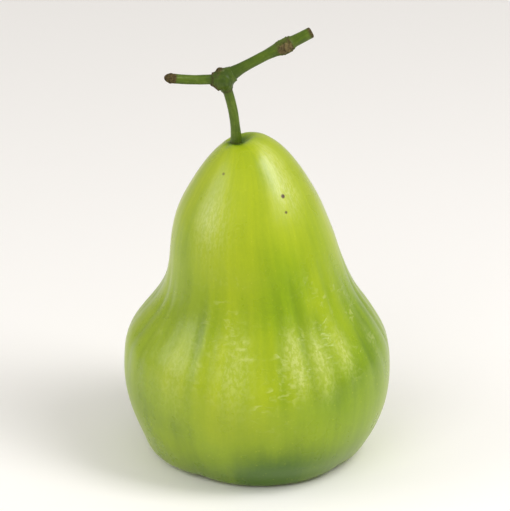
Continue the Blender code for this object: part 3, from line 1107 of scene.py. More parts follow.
    def _shared_rows(self) -> list[tuple[float, float]]:
        """(radius, height) rows from the pit's middle, over the crest and down to the foot.

        Returns:
            The rows that the lobe's and the notch's meridian share.
        """
        slope = self.pit_mouth - self.pit_floor
        rim = [self.pit_floor + part * slope for part in (0.0, 0.25, 0.5, 0.75, 1.0)]
        crest = np.array([0.0, *rim, *(part * self.radius for part in self.crown)])
        pit = 1.0 - smoothstep(crest, self.pit_floor, self.pit_mouth)
        heights = self.height - self.crown_fall(crest) - self.pit_depth * pit
        outer = [(r * self.radius, h * self.height) for r, h in self.wall]
        return [*zip(crest.tolist(), heights.tolist()), *outer]

    def _basin_rows(self) -> list[tuple[float, float]]:
        """(radius, height) rows of the basin's cone."""
        rise = self.basin_depth - self.lobe_height
        shares = ((0.985, 0.13), (0.85, 0.42), (0.60, 0.73), (0.29, 0.94), (0.0, 1.0))
        return [(r * self.basin_radius, self.lobe_height + h * rise) for r, h in shares]

    def _meridians(self) -> tuple[Array, Array, int]:
        """Rows of the lobe's and of the notch's meridian, and how many are the outer wall's.

        Returns:
            Two arrays of (radius, height) rows, and the number of rows of the outer wall.
        """
        wall_end = self.wall[-1][0] * self.radius
        stand = 0.5 * (wall_end + self.mouth)
        roll = self.basin_radius - self.mouth
        rim = wall_end - self.basin_radius
        climb = self.lobe_height - self.notch_lift
        rolled = [
            (stand + 0.70 * (wall_end - stand), 0.145 * self.lobe_height),
            (stand + 0.5 * self.foot_width, -self.foot_press),
            (stand - 0.5 * self.foot_width, -self.foot_press),
            (self.mouth + 0.56 * roll, 0.09 * self.lobe_height),
            (self.mouth + 0.18 * roll, 0.31 * self.lobe_height),
            (self.mouth, 0.62 * self.lobe_height),
            (self.mouth + 0.16 * roll, 0.90 * self.lobe_height),
            (self.mouth + 0.52 * roll, self.lobe_height),
            (self.mouth + 0.93 * roll, self.lobe_height),
        ]
        pinched = [
            (self.basin_radius + r * rim, self.notch_lift * up + climb * over)
            for r, up, over in (
                (0.74, 1.0, 0.0),
                (0.52, 0.9, 0.0),
                (0.34, 1.0, 0.07),
                (0.23, 1.0, 0.20),
                (0.16, 1.0, 0.36),
                (0.11, 1.0, 0.54),
                (0.07, 1.0, 0.72),
                (0.04, 1.0, 0.88),
                (0.02, 1.0, 1.03),
            )
        ]
        shared, basin = self._shared_rows(), self._basin_rows()
        lobe = np.array([*shared, *rolled, *basin])
        return lobe, np.array([*shared, *pinched, *basin]), len(shared)

    def _angles(self) -> tuple[Array, Array]:
        """Angle of each meridian, and its place in its lobe from -1 to 1, dense at the notches.

        Returns:
            The angles in radians, and the places.
        """
        count = self.columns // self.lobes
        even = 2.0 * np.arange(count) / count - 1.0
        place = 0.4 * even + 0.6 * np.sin(0.5 * math.pi * even)
        width = TURN / self.lobes
        starts = self.notch + width * np.arange(self.lobes)
        return (starts[:, None] + 0.5 * width * (place + 1.0)).ravel(), np.tile(place, self.lobes)

    def near_notch(self, angle: Array) -> Array:
        """1 in the directions of the notches and 0 in the middle of each lobe."""
        return 0.5 + 0.5 * np.cos(self.lobes * (angle - self.notch))

    def all_grooves(self) -> list[Groove]:
        """The placed grooves, and more of random width and depth round the back.

        Returns:
            All grooves, from left to right round the fruit.
        """
        count = self.hidden_grooves
        pick = np.random.default_rng(self.hidden_seed)
        first, last = self.grooves[-1].turn, self.grooves[0].turn + 360.0
        steps = np.arange(count) + 1 + pick.uniform(-0.28, 0.28, count)
        turns = first + (last - first) / (count + 1) * steps
        widths = pick.uniform(2.1, 3.3, count)
        depths = pick.uniform(0.08, 0.32, count) * MM
        tops = pick.uniform(0.56, 0.74, count)
        return [*self.grooves, *(Groove(*row) for row in zip(turns, widths, depths, tops))]

    def grooved(self, angle: Array, share: Array) -> Array:
        """Depth of the lengthwise grooves, in metres.

        Groove k is depth * exp(-((angle - turn) / width)^2), times a window that opens between 22 %
        and 37 % of the height and closes over the 16 % below its top. A sixth goes on to 93 %.
        The groove wanders by 1.1 degrees to either side as it climbs.

        Args:
            angle: Direction round the fruit.
            share: Height as a share of the whole.

        Returns:
            The depth of all grooves together.
        """
        opening = smoothstep(share, 0.22, 0.37)
        faint = 0.16 * smoothstep(share, 0.35, 0.5) * (1.0 - smoothstep(share, 0.76, 0.93))
        total = 0.0 * angle
        for number, groove in enumerate(self.all_grooves()):
            wander = math.radians(1.1) * np.sin(9.0 * share + 1.7 * number)
            aside = turn_between(angle, groove.turn) + wander
            across = hump(aside, 0.0, math.radians(groove.width))
            window = opening * (1.0 - smoothstep(share, groove.top - 0.16, groove.top))
            total += groove.depth * across * (window + faint)
        return total

    def bulges(self, angle: Array, share: Array) -> Array:
        """How far the body swells beyond the even bell.

        Args:
            angle: Direction round the fruit.
            share: Height as a share of the whole.

        Returns:
            The even swell, slow waves, a shoulder on either side and the foot, less the waist, in
            metres. Each is a height times a bell curve of the angle and one of the share.
        """
        left, right = around_hump(angle, -84.0, 0.75), around_hump(angle, 88.0, 0.75)
        front = around_hump(angle, 0.0, 0.6)
        waves = self.unevenness * round_trip(angle + 1.5 * share, 11, 3, 7)
        waves = waves * smoothstep(share, 0.05, 0.3) * (1.0 - smoothstep(share, 0.45, 0.65))
        shoulders = self.shoulder_left * left * hump(share, 0.385, 0.062)
        shoulders = shoulders + self.shoulder_right * right * hump(share, 0.40, 0.09)
        foot = (self.foot_left * left - self.foot_front * front) * hump(share, 0.02, 0.05)
        waist = self.waist * (left + right) * hump(share, 0.55, 0.10)
        return self.swell + waves + shoulders + foot - waist

    def relief(self, angle: Array, share: Array) -> Array:
        """How far the skin lies under the even bell, in metres.

        Args:
            angle: Direction round the fruit.
            share: Height as a share of the whole.

        Returns:
            The grooves and the four valleys above the notches, less the bulges.
        """
        valley = self.valley_depth * self.near_notch(angle) ** 2.6
        valley = valley * (1.0 - smoothstep(share, 0.14, self.valley_end))
        body = 1.0 - smoothstep(share, 0.50, 0.72)
        return self.grooved(angle, share) + valley - self.bulges(angle, share) * body

    def leaned(self, x: Array, y: Array, z: Array) -> Array:
        """Moves points of the upright bell to where they have grown.

        The neck moves to the left by lean. Near the pit, points slide along the crown's paraboloid
        by pit_offset * exp(-(r / pit_spread)^2), and the pit's floor stays level.

        Args:
            x: Distance to the right.
            y: Distance to the back.
            z: Height.

        Returns:
            The moved points, with x, y and z in the last axis.
        """
        share = z / self.height
        neck, top = smoothstep(share, 0.50, 0.78), smoothstep(share, 0.72, 0.84)
        radius = np.hypot(x, y)
        slid = x - self.pit_offset * top * np.exp(-((radius / self.pit_spread) ** 2))
        floor = 1.0 - smoothstep(radius, self.pit_floor, self.pit_mouth)
        slope = self.crown_fall(x) - self.crown_fall(slid)
        level = -float(self.crown_fall(np.array(self.pit_offset)))
        drop = top * (slope * (1.0 - floor) + level * floor)
        return spread(slid - self.lean * neck, y, z + drop)

    def shell(self) -> Shell:
        """Lofts the skin between the lobe's and the notch's meridian, with relief and fields.

        At a place s in a lobe, from -1 to 1, the meridian is notch + w * (lobe - notch), where
        w = (1 - |s|^squareness)^roundness.

        Returns:
            The closed skin.
        """
        lobe_rows, notch_rows, outer = self._meridians()
        weight = np.ones(len(lobe_rows))
        weight[outer - 1 : outer + 9] = 1.5
        at = even_places(lobe_rows, self.rings + 2, weight)
        lobe, notch = through(lobe_rows, at), through(notch_rows, at)
        angle, place = self._angles()
        bulk = (1.0 - np.abs(place) ** self.squareness) ** self.roundness
        meridian = notch[1:-1, None, :] + bulk[None, :, None] * (lobe - notch)[1:-1, None, :]
        radius, height = meridian[..., 0], meridian[..., 1]
        turn, row = np.broadcast_arrays(angle, at[1:-1, None] - outer)

        share = height / self.height
        outside = 1.0 - smoothstep(row, -1.0, 1.2)
        radius = radius - outside * self.relief(turn, share)
        inner = smoothstep(row, 2.0, 4.0) * (1.0 - smoothstep(row, 7.0, 9.0))
        radius = radius + inner * bulk * self.puff * (1.0 + round_trip(turn, 23, 5, 17))
        folds = hump(radius, 3.0 * MM, 1.3 * MM) * (row < 0.0) * smoothstep(share, 0.85, 0.93)
        height = height - folds * self.fold * (1.0 + round_trip(turn, 31, 3, 8))

        points = self.leaned(radius * np.sin(turn), -radius * np.cos(turn), height)
        points[..., 2] = np.maximum(points[..., 2], 0.0)
        poles = tuple(self.leaned(*np.array([0.0, 0.0, lobe[k, 1]])) for k in (0, -1))
        fields = self._fields(turn, share, radius, row)
        middle = 0.9 * self.radius
        down = travelled(lobe[1:-1])[:, None]
        fields["bell"] = spread(middle * np.sin(turn), middle * np.cos(turn), down)
        return Shell.from_rings(points, fields, poles)

    def _fields(self, turn: Array, share: Array, radius: Array, row: Array) -> dict[str, Array]:
        """Works out what the skin's finish reads.

        Args:
            turn: Direction round the fruit.
            share: Height as a share of the whole.
            radius: Distance from the axis.
            row: Place along the meridian in rows, counted from the end of the outer wall.

        Returns:
            The named numbers for each corner.
        """
        outside = 1.0 - smoothstep(row, -1.0, 1.2)
        in_basin = smoothstep(row, 7.6, 9.4)
        pit = outside * smoothstep(share, 0.85, 0.93) * hump(radius, 0.0, 2.7 * MM)

        uneven = share + 0.05 * round_trip(turn, 67, 2, 7)
        band = smoothstep(uneven, 0.24, 0.40) * (1.0 - smoothstep(uneven, 0.50, 0.72))
        front_right = smoothstep(np.cos(turn - math.radians(22)), 0.35, 0.85)
        islands = smoothstep(round_trip(turn, 71, 2, 5), 0.2, 0.9)
        crinkled = band * outside * (0.30 + 0.70 * front_right + 0.25 * islands).clip(0.0, 1.0)

        clumps = self.near_notch(turn) ** 5
        style_foot = 1.0 - smoothstep(radius, 0.0, 1.6 * MM)
        stain = hump(row, 9.4, 0.8) * (0.35 + 0.65 * clumps) + 0.8 * style_foot * in_basin
        stain = stain + 0.5 * clumps * hump(row, 6.0, 2.2)

        dull = 1.0 - 0.6 * around_hump(turn, -35.0, 0.6)
        dull = dull * (1.0 - 0.5 * around_hump(turn, 22.0, 0.3) * hump(share, 0.925, 0.05))
        return {
            # The pit is painted a deeper green: painted shade in the recess round the stalk.
            "tone": self.tone(turn, share) - 0.95 * pit,
            "pit": pit,
            "groove": self.grooved(turn, share) * outside / (0.4 * MM),
            "calyx": smoothstep(row, -0.2, 1.6) * (1.0 - in_basin),
            "basin": in_basin,
            "stain": stain,
            "crinkled": crinkled,
            # Deeper saturated green, partly painted shade, and pale painted highlights, from the
            # patches.
            "lush": self.patched(turn, share, "lush") * outside,
            "bloom": self.patched(turn, share, "bloom") * outside * (1.0 - pit),
            "polish": smoothstep(share, 0.66, 0.80) * outside * dull,
        }

    def tone(self, angle: Array, share: Array) -> Array:
        """How yellow the skin is: 0 deep green, low on the fruit, and 1 yellow green, on the neck.
        It holds painted shade in the valleys, at the foot and on some patches.

        Args:
            angle: Direction round the fruit.
            share: Height as a share of the whole.

        Returns:
            The tone.
        """
        neck = 0.17 * smoothstep(share, 0.45, 0.80)
        body = 0.50 - 0.08 * hump(share, 0.55, 0.10)
        # Darker towards the foot: partly the deeper green of the fruit's base, partly painted shade
        # where it faces the floor.
        low = 0.10 * (1.0 - smoothstep(share, 0.04, 0.22))
        slow = 0.04 * round_trip(angle + 2.0 * share, 41, 2, 6)
        # Painted shade in the valleys over the notches.
        valley = 0.10 * self.near_notch(angle) ** 3 * (1.0 - smoothstep(share, 0.1, 0.5))
        return body + neck - low + slow - valley + self.patched(angle, share, "tone")

    def patched(self, angle: Array, share: Array, name: str) -> Array:
        """Sums one number of all patches, each times the bell curves of its two distances.

        Args:
            angle: Direction round the fruit.
            share: Height as a share of the whole.
            name: Which number: tone, lush or bloom.

        Returns:
            The sum.
        """
        total = 0.0 * angle
        for patch in self.patches:
            across = around_hump(angle, patch.turn, math.radians(patch.wide))
            total += getattr(patch, name) * across * hump(share, patch.share, patch.tall)
        return total


# --- Stalks and twig ------------------------------------------------------------------------------


@dataclass
class Fork:
    """The fruit's stalk, the knuckle, the twig with its node and cut end, and the side stalk.

    Attributes:
        foot: Middle of the stalk's foot.
        foot_radius: Radius of the stalk's foot.
        stalk_radius: Radius of the stalk.
        stalk_rise: Height of the knuckle over the foot.
        stalk_reach: How far the knuckle lies to the left of the foot.
        stalk_bend: How late the stalk bends.
        knuckle_radius: Radius of the knuckle's ball.
        joint: Distance from the knuckle's middle to the collars.
        twig_length: Knuckle to the cut end.
        twig_radius: Radius of the twig.
        twig_end_radius: Radius of its cut end.
        twig_rise: Rise of the twig, in degrees.
        twig_turn: Turn of the twig from +X towards the back, in degrees.
        twig_sag: Height of its arch.
        node_at: Share of the twig's length where its node is.
        node_radius: Radius of the node.
        side_radius: Radius of the side stalk.
        side_reach: Length of the side stalk.
        side_rise: Rise of the side stalk, in degrees.
        side_turn: Turn of the side stalk from +X towards the back, in degrees.
        side_droop: How far it sags half way.
        bract: Length of the bract.
        around: Corners in a ring.
    """

    foot: Vector
    foot_radius: float = 1.32 * MM
    stalk_radius: float = 1.0 * MM
    stalk_rise: float = 16.9 * MM
    stalk_reach: float = 2.95 * MM
    stalk_bend: float = 2.2
    knuckle_radius: float = 2.2 * MM
    joint: float = 2.45 * MM
    twig_length: float = 23.0 * MM
    twig_radius: float = 1.2 * MM
    twig_end_radius: float = 1.3 * MM
    twig_rise: float = 27.0
    twig_turn: float = 8.5
    twig_sag: float = 0.6 * MM
    node_at: float = 0.69
    node_radius: float = 1.8 * MM
    side_radius: float = 1.08 * MM
    side_reach: float = 13.7 * MM
    side_rise: float = 5.5
    side_turn: float = 188.5
    side_droop: float = 0.35 * MM
    bract: float = 3.1 * MM
    around: int = 72

    @staticmethod
    def direction(rise: float, turn: float) -> Array:
        """A unit vector, from degrees of rise and of turn from +X towards the back.

        Args:
            rise: Degrees upwards.
            turn: Degrees from +X towards the back.

        Returns:
            The vector.
        """
        up, round_ = math.radians(rise), math.radians(turn)
        return np.array(
            [math.cos(up) * math.cos(round_), math.cos(up) * math.sin(round_), math.sin(up)]
        )

    def stalk_axis(self, share: Array) -> Array:
        """Middle line of the stalk: rise * s upwards and reach * s^bend to the left."""
        left = self.stalk_reach * np.maximum(share, 0.0) ** self.stalk_bend
        return np.array(self.foot) + spread(-left, 0.0, self.stalk_rise * share)

    def knuckle_middle(self) -> Array:
        """Where the stalks meet the twig."""
        return self.stalk_axis(np.array([1.0]))[0]

    def twig_axis(self, share: Array) -> Array:
        """Middle line of the twig: straight, with a slight arch of sag * sin(pi s) * (1 - s).

        Args:
            share: Places from 0 at the knuckle to 1 at the twig's end.

        Returns:
            A point for each place.
        """
        along = self.direction(self.twig_rise, self.twig_turn) * self.twig_length
        arch = self.twig_sag * np.sin(math.pi * share) * (1.0 - share)
        return self.knuckle_middle() + share[:, None] * along + arch[:, None] * UP

    def side_axis(self, distance: Array) -> Array:
        """Middle line of the side stalk: straight, less droop * sin(pi d / reach).

        Args:
            distance: Distances from the knuckle's middle.

        Returns:
            A point for each distance.
        """
        along = self.direction(self.side_rise, self.side_turn)
        way = np.clip(distance / self.side_reach, 0.0, 1.0)
        droop = self.side_droop * np.sin(math.pi * way)
        return self.knuckle_middle() + distance[:, None] * along - droop[:, None] * UP

    def _fluted(self, along: Array, seed: int, depth: float) -> Array:
        """A factor on a rod's radius: shallow flutes that wander along it.

        Args:
            along: Distance along the rod at each ring.
            seed: Picks the flutes.
            depth: Their depth as a share of the radius.

        Returns:
            1 plus coarse ripples and half as deep fine ones, by ring and by place round it.
        """
        phi = full_turn(self.around)
        place = spread(np.cos(phi), np.sin(phi), along[:, None] * 90.0)
        coarse, fine = ripples(place, 1.1, seed), ripples(place, 0.45, seed + 1)
        return 1.0 + depth * coarse + 0.5 * depth * fine

    def stalk(self) -> Shell:
        """The fruit's own stalk, flared at its foot, which goes into the knuckle.

        Returns:
            The closed stalk.
        """
        share = np.linspace(-0.045, 1.0 - 0.55 * self.joint / self.stalk_rise, 150)
        path = self.stalk_axis(share)
        flare = 1.0 - smoothstep(share, 0.02, 0.34)
        shaft = 1.1 * self.stalk_radius
        joint = 1.0 - self.joint / self.stalk_rise
        size = shaft + (self.foot_radius - shaft) * flare
        size = size + 0.14 * MM * hump(share, joint - 0.012, 0.02)
        swell = self._fluted(path[:, 2], 3, 0.035)
        scar = 0.7 * (1.0 - smoothstep(share, 0.04, 0.12)) + 0.45 * hump(share, joint - 0.008, 0.03)
        deep = 0.75 * smoothstep(share, joint - 0.10, joint)
        deep = deep + 0.35 * (1.0 - smoothstep(share, 0.0, 0.3))
        return swept(path, size, swell, scar=scar, deep=deep)

    def twig(self) -> Shell:
        """The twig from the knuckle to its cut end, with ringed scars on its swollen node.

        Returns:
            The closed twig.
        """
        rows = np.array(
            [
                (0.00, 1.55 * self.twig_radius),
                (0.07, 1.50 * self.twig_radius),
                (0.13, 1.30 * self.twig_radius),
                (0.20, 1.10 * self.twig_radius),
                (0.30, 1.03 * self.twig_radius),
                (self.node_at - 0.20, 1.0 * self.twig_radius),
                (self.node_at - 0.10, 1.15 * self.twig_radius),
                (self.node_at - 0.04, 0.97 * self.node_radius),
                (self.node_at + 0.03, self.node_radius),
                (self.node_at + 0.065, 0.93 * self.node_radius),
                (self.node_at + 0.10, 1.04 * self.twig_end_radius),
                (1.00, self.twig_end_radius),
            ]
        )
        edge = 0.985
        share = np.linspace(0.0, edge, 260)
        size = np.interp(share, rows[:, 0], rows[:, 1])
        size = np.convolve(np.pad(size, 5, mode="edge"), np.ones(11) / 11.0, mode="valid")
        for ring, tall in ((-0.060, 0.06), (-0.030, 0.08), (0.050, 0.13), (0.080, 0.12)):
            size = size + tall * MM * hump(share, self.node_at + ring, 0.008)
        cut_along = np.array([0.004, 0.008, 0.0115, 0.0140, 0.0152, 0.0158, 0.0161, 0.0163])
        cut_size = np.array([0.985, 0.94, 0.86, 0.74, 0.60, 0.42, 0.24, 0.10])
        share = np.concatenate([share, edge + cut_along])
        size = np.concatenate([size, cut_size * self.twig_end_radius])

        phi = full_turn(self.around)
        node = hump(share, self.node_at, 0.075)[:, None]
        lopsided = np.cos(phi - 0.5 * math.pi) * 0.09 + np.cos(2.0 * phi + 0.6) * 0.05
        swell = self._fluted(share * self.twig_length, 7, 0.035) * (1.0 + node * lopsided)
        front = np.clip(-np.cos(phi), 0.0, 1.0)
        patch = hump(share, self.node_at + 0.005, 0.075)[:, None] * (0.15 + 0.75 * front)
        rim = smoothstep(share, 0.955, 0.988)
        rings = 0.5 * hump(share, self.node_at - 0.060, 0.012)
        rings = rings + hump(share, self.node_at + 0.065, 0.016)
        scar = patch + (0.95 * rim + 0.55 * rings)[:, None]
        deep = 0.9 - 0.75 * smoothstep(share, 0.05, 0.45)
        return swept(self.twig_axis(share), size, swell, scar=scar, deep=deep)

    def side(self) -> Shell:
        """The bare side stalk, with a dry, rounded tip: half an ellipsoid at its end.

        Returns:
            The closed side stalk.
        """
        tip = 1.10 * self.side_radius
        tip_start = self.side_reach - 1.5 * tip
        turn = np.linspace(0.0, 0.5 * math.pi - 0.12, 16)
        straight = np.linspace(0.6 * self.joint, tip_start, 120)[:-1]
        distance = np.concatenate([straight, tip_start + 1.5 * tip * np.sin(turn)])
        places = [self.joint, 0.45 * self.side_reach, 0.75 * self.side_reach, tip_start]
        sizes = [part * self.side_radius for part in (1.08, 1.01, 1.02)]
        size = np.concatenate([np.interp(straight, places, [*sizes, tip]), tip * np.cos(turn)])
        size = size + 0.16 * MM * hump(distance, self.joint, 0.22 * MM)
        path = self.side_axis(distance)
        dry = smoothstep(distance, self.side_reach - 3.0 * MM, self.side_reach - 2.2 * MM)
        wither = dry[:, None] * ripples(path[:, None, :] / MM, 1.1, 59)
        swell = self._fluted(distance, 13, 0.04) * (1.0 + 0.07 * wither)
        scar = 0.45 * hump(distance, self.joint, 0.55 * MM) + 1.3 * dry
        deep = 0.8 * (1.0 - smoothstep(distance, self.joint, 2.2 * self.joint))
        return swept(path, size, swell, scar=scar, deep=deep)

    def facing(self, toward: Array, rise: float, turn: float, width: float) -> Array:
        """A soft spot: 1 in one direction, in degrees, and 1/e at width radians from it."""
        cos = np.clip(toward @ self.direction(rise, turn), -1.0, 1.0)
        return hump(np.arccos(cos), 0.0, width)

    def knuckle(self) -> Shell:
        """The knuckle: a ball with four short necks, blended.

        In the direction d from the middle, a neck of radius q along the unit vector a reaches
        min(q / sin, length / cos) of the angle between d and a. The surface is at the fifth root of
        the sum of the fifth powers of these reaches and the ball's radius, which rounds every
        inside corner.

        Returns:
            The closed knuckle.
        """
        polar = np.linspace(0.02, math.pi - 0.02, 110)[:, None]
        azimuth = full_turn(168)
        toward = spread(
            np.sin(polar) * np.cos(azimuth), np.cos(polar), np.sin(polar) * np.sin(azimuth)
        )
        joint_share = np.array([1.0 - self.joint / self.stalk_rise])
        down = unit(self.stalk_axis(joint_share)[0] - self.knuckle_middle())
        left = self.direction(self.side_rise, self.side_turn)
        right = self.direction(self.twig_rise + math.degrees(0.03), self.twig_turn)
        stub = self.direction(-38.0, 205.0)
        necks = (
            (down, 1.34 * self.stalk_radius, 1.06 * self.joint, 0.55),
            (left, 1.30 * self.side_radius, 1.0 * self.joint, 0.45),
            (right, 1.46 * self.twig_radius, 1.05 * self.joint, 0.0),
            (stub, 1.1 * MM, 1.12 * self.knuckle_radius, 0.7),
        )
        total = (self.knuckle_radius * (1.0 + 0.07 * ripples(toward, 1.3, 19))) ** 5
        scar = 0.0 * total
        for axis, wide, length, brown in necks:
            cos = toward @ axis
            sin = np.sqrt(np.maximum(1.0 - cos**2, 1e-6))
            ahead = np.minimum(wide / sin, length / np.maximum(cos, 1e-3))
            reach = np.where(cos > 0.0, ahead, wide)
            total = total + reach**5
            scar = scar + brown * smoothstep(reach * cos, 0.80 * length, 0.96 * length)
        below = self.facing(toward, -40.0, 205.0, 0.55)
        above = self.facing(toward, 48.0, 200.0, 0.5)
        scar = scar + (0.55 + 0.35 * ripples(toward, 0.5, 37)) * below
        scar = scar + (0.45 + 0.45 * ripples(toward, 0.4, 47)) * above
        reach = total**0.2 * (1.0 + 0.012 * ripples(toward, 0.35, 29))
        out = reach[..., None] * toward
        fields = {
            "grain": out * np.array([1.0, 1.0, 0.6]),
            "scar": scar.clip(0.0, 1.0),
            "deep": (0.80 + 0.30 * ripples(toward, 0.7, 57)).clip(0.0, 1.0),
        }
        return Shell.from_rings(self.knuckle_middle() + out, fields)

    def bract_scale(self) -> Shell:
        """The small dry bract on top of the knuckle: a flattened, pointed scale.

        Returns:
            The closed bract.
        """
        share = np.linspace(0.0, 1.0, 50)
        lean = self.bract * unit(np.array([-0.34, -0.12, 1.0]))
        curl = np.array([-1.0, 0.0, 0.2]) * 0.2 * MM
        rise = (0.35 + 0.65 * share)[:, None] * lean
        path = self.knuckle_middle() + rise + (share**2)[:, None] * curl
        size = 1.5 * MM * (1.0 - share**2.2) ** 0.6 + 0.05 * MM
        swell = 1.0 - 0.30 * np.abs(np.cos(full_turn(40)))[None, :]
        scar = smoothstep(share, 0.45, 0.95)
        return swept(path, size, swell, scar=scar, deep=np.full_like(share, 0.6))


@dataclass
class DryBud:
    """The dry bud at the twig's node: overlapping scales round a small core.

    Attributes:
        low: Lowest corner of the bud's box.
        high: Highest corner of the bud's box.
        along: Direction of the twig there.
        length: Length along the twig.
        width: Width across the twig.
        thickness: How far it stands out.
        scales: Number of scales along it.
    """

    low: Vector
    high: Vector
    along: Array
    length: float = 3.6 * MM
    width: float = 2.3 * MM
    thickness: float = 1.7 * MM
    scales: int = 4

    def shell(self) -> Shell:
        """An ellipsoid whose radius steps up at the edge of each scale.

        Along the bud's length, from 0 to 1, the factor on the radius is 0.90 plus a saw-tooth of
        0.22 that has one tooth for each scale, bent by the angle round the bud so that the edges
        are arcs.

        Returns:
            The closed bud.
        """
        polar = np.linspace(0.03, math.pi - 0.03, 90)[:, None]
        azimuth = full_turn(96)
        run = polar / math.pi + 0.05 * np.cos(2.0 * azimuth)
        tooth = (run * self.scales) % 1.0
        step = 0.22 * tooth * (1.0 - smoothstep(tooth, 0.86, 1.0))
        ball = spread(
            np.cos(polar), np.sin(polar) * np.cos(azimuth), np.sin(polar) * np.sin(azimuth)
        )
        factor = (0.90 + step) * (1.0 + 0.05 * ripples(ball, 0.5, 43))
        out = unit(np.cross(self.along, UP))
        over = np.cross(out, self.along)
        size = 0.5 * np.array([self.length, self.width, self.thickness])
        middle = 0.5 * np.array(self.low + self.high)
        rings = middle + (ball * factor[..., None] * size) @ np.stack([self.along, over, out])
        return Shell.from_rings(rings, {"gap": 1.0 - smoothstep(tooth, 0.04, 0.30)})


@dataclass
class FlowerRemains:
    """The ring of dried stamens and the dried style inside the basin.

    Attributes:
        ring_low: Lowest corner of the ring's box.
        ring_high: Highest corner of the ring's box.
        style_top: Height where the style hangs from the basin's roof.
        notch: Direction of the first notch, where a clump of stamens stands, in radians.
        lobes: Number of notches.
        band: Thickness of the ring between the clumps.
        clump: Thickness of the ring at a clump.
        stamens: Number of stamens.
        stamen_length: Length of the longest stamen.
        stamen_radius: Radius of a stamen's foot.
        stamen_seed: Picks where they stand and how they bend.
        style_radius: Radius of the style.
        style_lean: How far it leans by its end, in radians.
        style_length: Length of the style.
        style_foot: Radius of its foot.
    """

    ring_low: Vector
    ring_high: Vector
    style_top: float
    notch: float
    lobes: int = 4
    band: float = 0.42 * MM
    clump: float = 0.80 * MM
    stamens: int = 150
    stamen_length: float = 3.4 * MM
    stamen_radius: float = 0.085 * MM
    stamen_seed: int = 61
    style_radius: float = 0.36 * MM
    style_lean: float = math.radians(24)
    style_length: float = 7.2 * MM
    style_foot: float = 0.95 * MM

    def _ring_radius(self) -> float:
        """Radius of the ring's outer edge."""
        return 0.5 * (self.ring_high.x - self.ring_low.x) - 0.55 * MM

    def _ring_height(self) -> float:
        """Height of the ring's middle."""
        return 0.5 * (self.ring_low.z + self.ring_high.z)

    def ring(self) -> Shell:
        """The knobbly band that the stamens stand on, thickest at the notches.

        Returns:
            The closed band.
        """
        angle, phi = full_turn(360), full_turn(28)
        near_notch = 0.5 + 0.5 * np.cos(self.lobes * (angle - self.notch))
        size = self.band + (self.clump - self.band) * near_notch**4
        radius = self._ring_radius() + 0.12 * MM - 0.3 * size
        toward = spread(np.sin(angle), -np.cos(angle), 0.0)[:, None, :]
        knobs = spread(
            14.0 * toward[..., 0], 14.0 * toward[..., 1], 0.0, np.cos(phi), np.sin(phi)
        )
        size = size[:, None] * (1.0 + 0.22 * ripples(knobs, 1.6, 53))
        out = toward * (radius[:, None] + size * np.cos(phi))[..., None]
        height = self._ring_height() + size * np.sin(phi)
        return Shell.from_loop(out + height[..., None] * UP)

    def filaments(self) -> Shell:
        """Dried stamens: thin bent hairs from the band, crowded at the notches.

        Hair k follows base + length * (t * out_k + t^2 * curl_k) for t from 0 to 1, and its radius
        falls by half. All hairs are worked out at once, as one array of hair, ring and place.

        Returns:
            All the hairs.
        """
        count = self.stamens
        pick = np.random.default_rng(self.stamen_seed)
        scatter = pick.normal(0.0, 0.16, count)
        at_notch = self.notch + pick.integers(0, self.lobes, count) * (TURN / self.lobes)
        anywhere = pick.uniform(0.0, TURN, count)
        angle = np.where(pick.uniform(size=count) < 0.72, at_notch + scatter, anywhere)
        outward = spread(np.sin(angle), -np.cos(angle), 0.0)
        sideways = spread(np.cos(angle), np.sin(angle), 0.0)
        radius = self._ring_radius() - pick.uniform(0.1, 0.7, count) * MM
        base = radius[:, None] * outward + self._ring_height() * UP
        length = self.stamen_length * pick.uniform(0.35, 1.0, count)

        def astray(across: float, least: float, most: float) -> Array:
            """A random part sideways and one downwards, for each hair."""
            aside = pick.normal(0.0, across, count)[:, None] * sideways
            return aside - pick.uniform(least, most, count)[:, None] * UP

        first = astray(0.30, -0.15, 0.25) - 0.75 * outward
        curl = astray(0.32, -0.1, 0.35)
        t = np.linspace(0.0, 1.0, 8)[:, None]
        bent = t * first[:, None, :] + t**2 * curl[:, None, :]
        path = base[:, None, :] + length[:, None, None] * bent
        along = unit(np.gradient(path, axis=1))
        side = unit(np.cross(along, outward[:, None, :] - 0.3 * UP))
        over = np.cross(side, along)
        phi = full_turn(6)[:, None]
        edge = np.cos(phi) * side[:, :, None, :] + np.sin(phi) * over[:, :, None, :]
        size = self.stamen_radius * (1.0 - 0.5 * t)[..., None]
        rings = path[:, :, None, :] + size * edge
        return Shell.joined([Shell.from_rings(hair) for hair in rings])

    def style(self) -> Shell:
        """The dried style: a slender, wrinkled rod that leans as it hangs, from a flared foot.

        Returns:
            The closed style.
        """
        share = np.linspace(-0.03, 1.0, 120)
        angle = self.style_lean * share
        toward = spread(np.sin(angle), -0.4 * np.sin(angle), -np.cos(angle))
        path = self.style_top * UP + toward * (self.style_length * share)[:, None]
        flare = np.exp(-np.maximum(share, 0.0) / 0.06)
        size = self.style_radius + (self.style_foot - self.style_radius) * flare
        size = size * (1.0 + 0.28 * hump(share, 0.96, 0.05))
        size = size * (1.0 - 0.8 * smoothstep(share, 0.965, 1.0))
        phi = full_turn(28)
        place = spread(np.cos(phi), np.sin(phi), share[:, None] * 3.0)
        return swept(path, size, 1.0 + 0.12 * ripples(place, 0.9, 71))


# --- Studio ---------------------------------------------------------------------------------------


class LightRole(Enum):
    """What a softbox is for."""

    KEY = "key"
    FILL = "fill"
    CORE = "core"
    FRONT = "front"


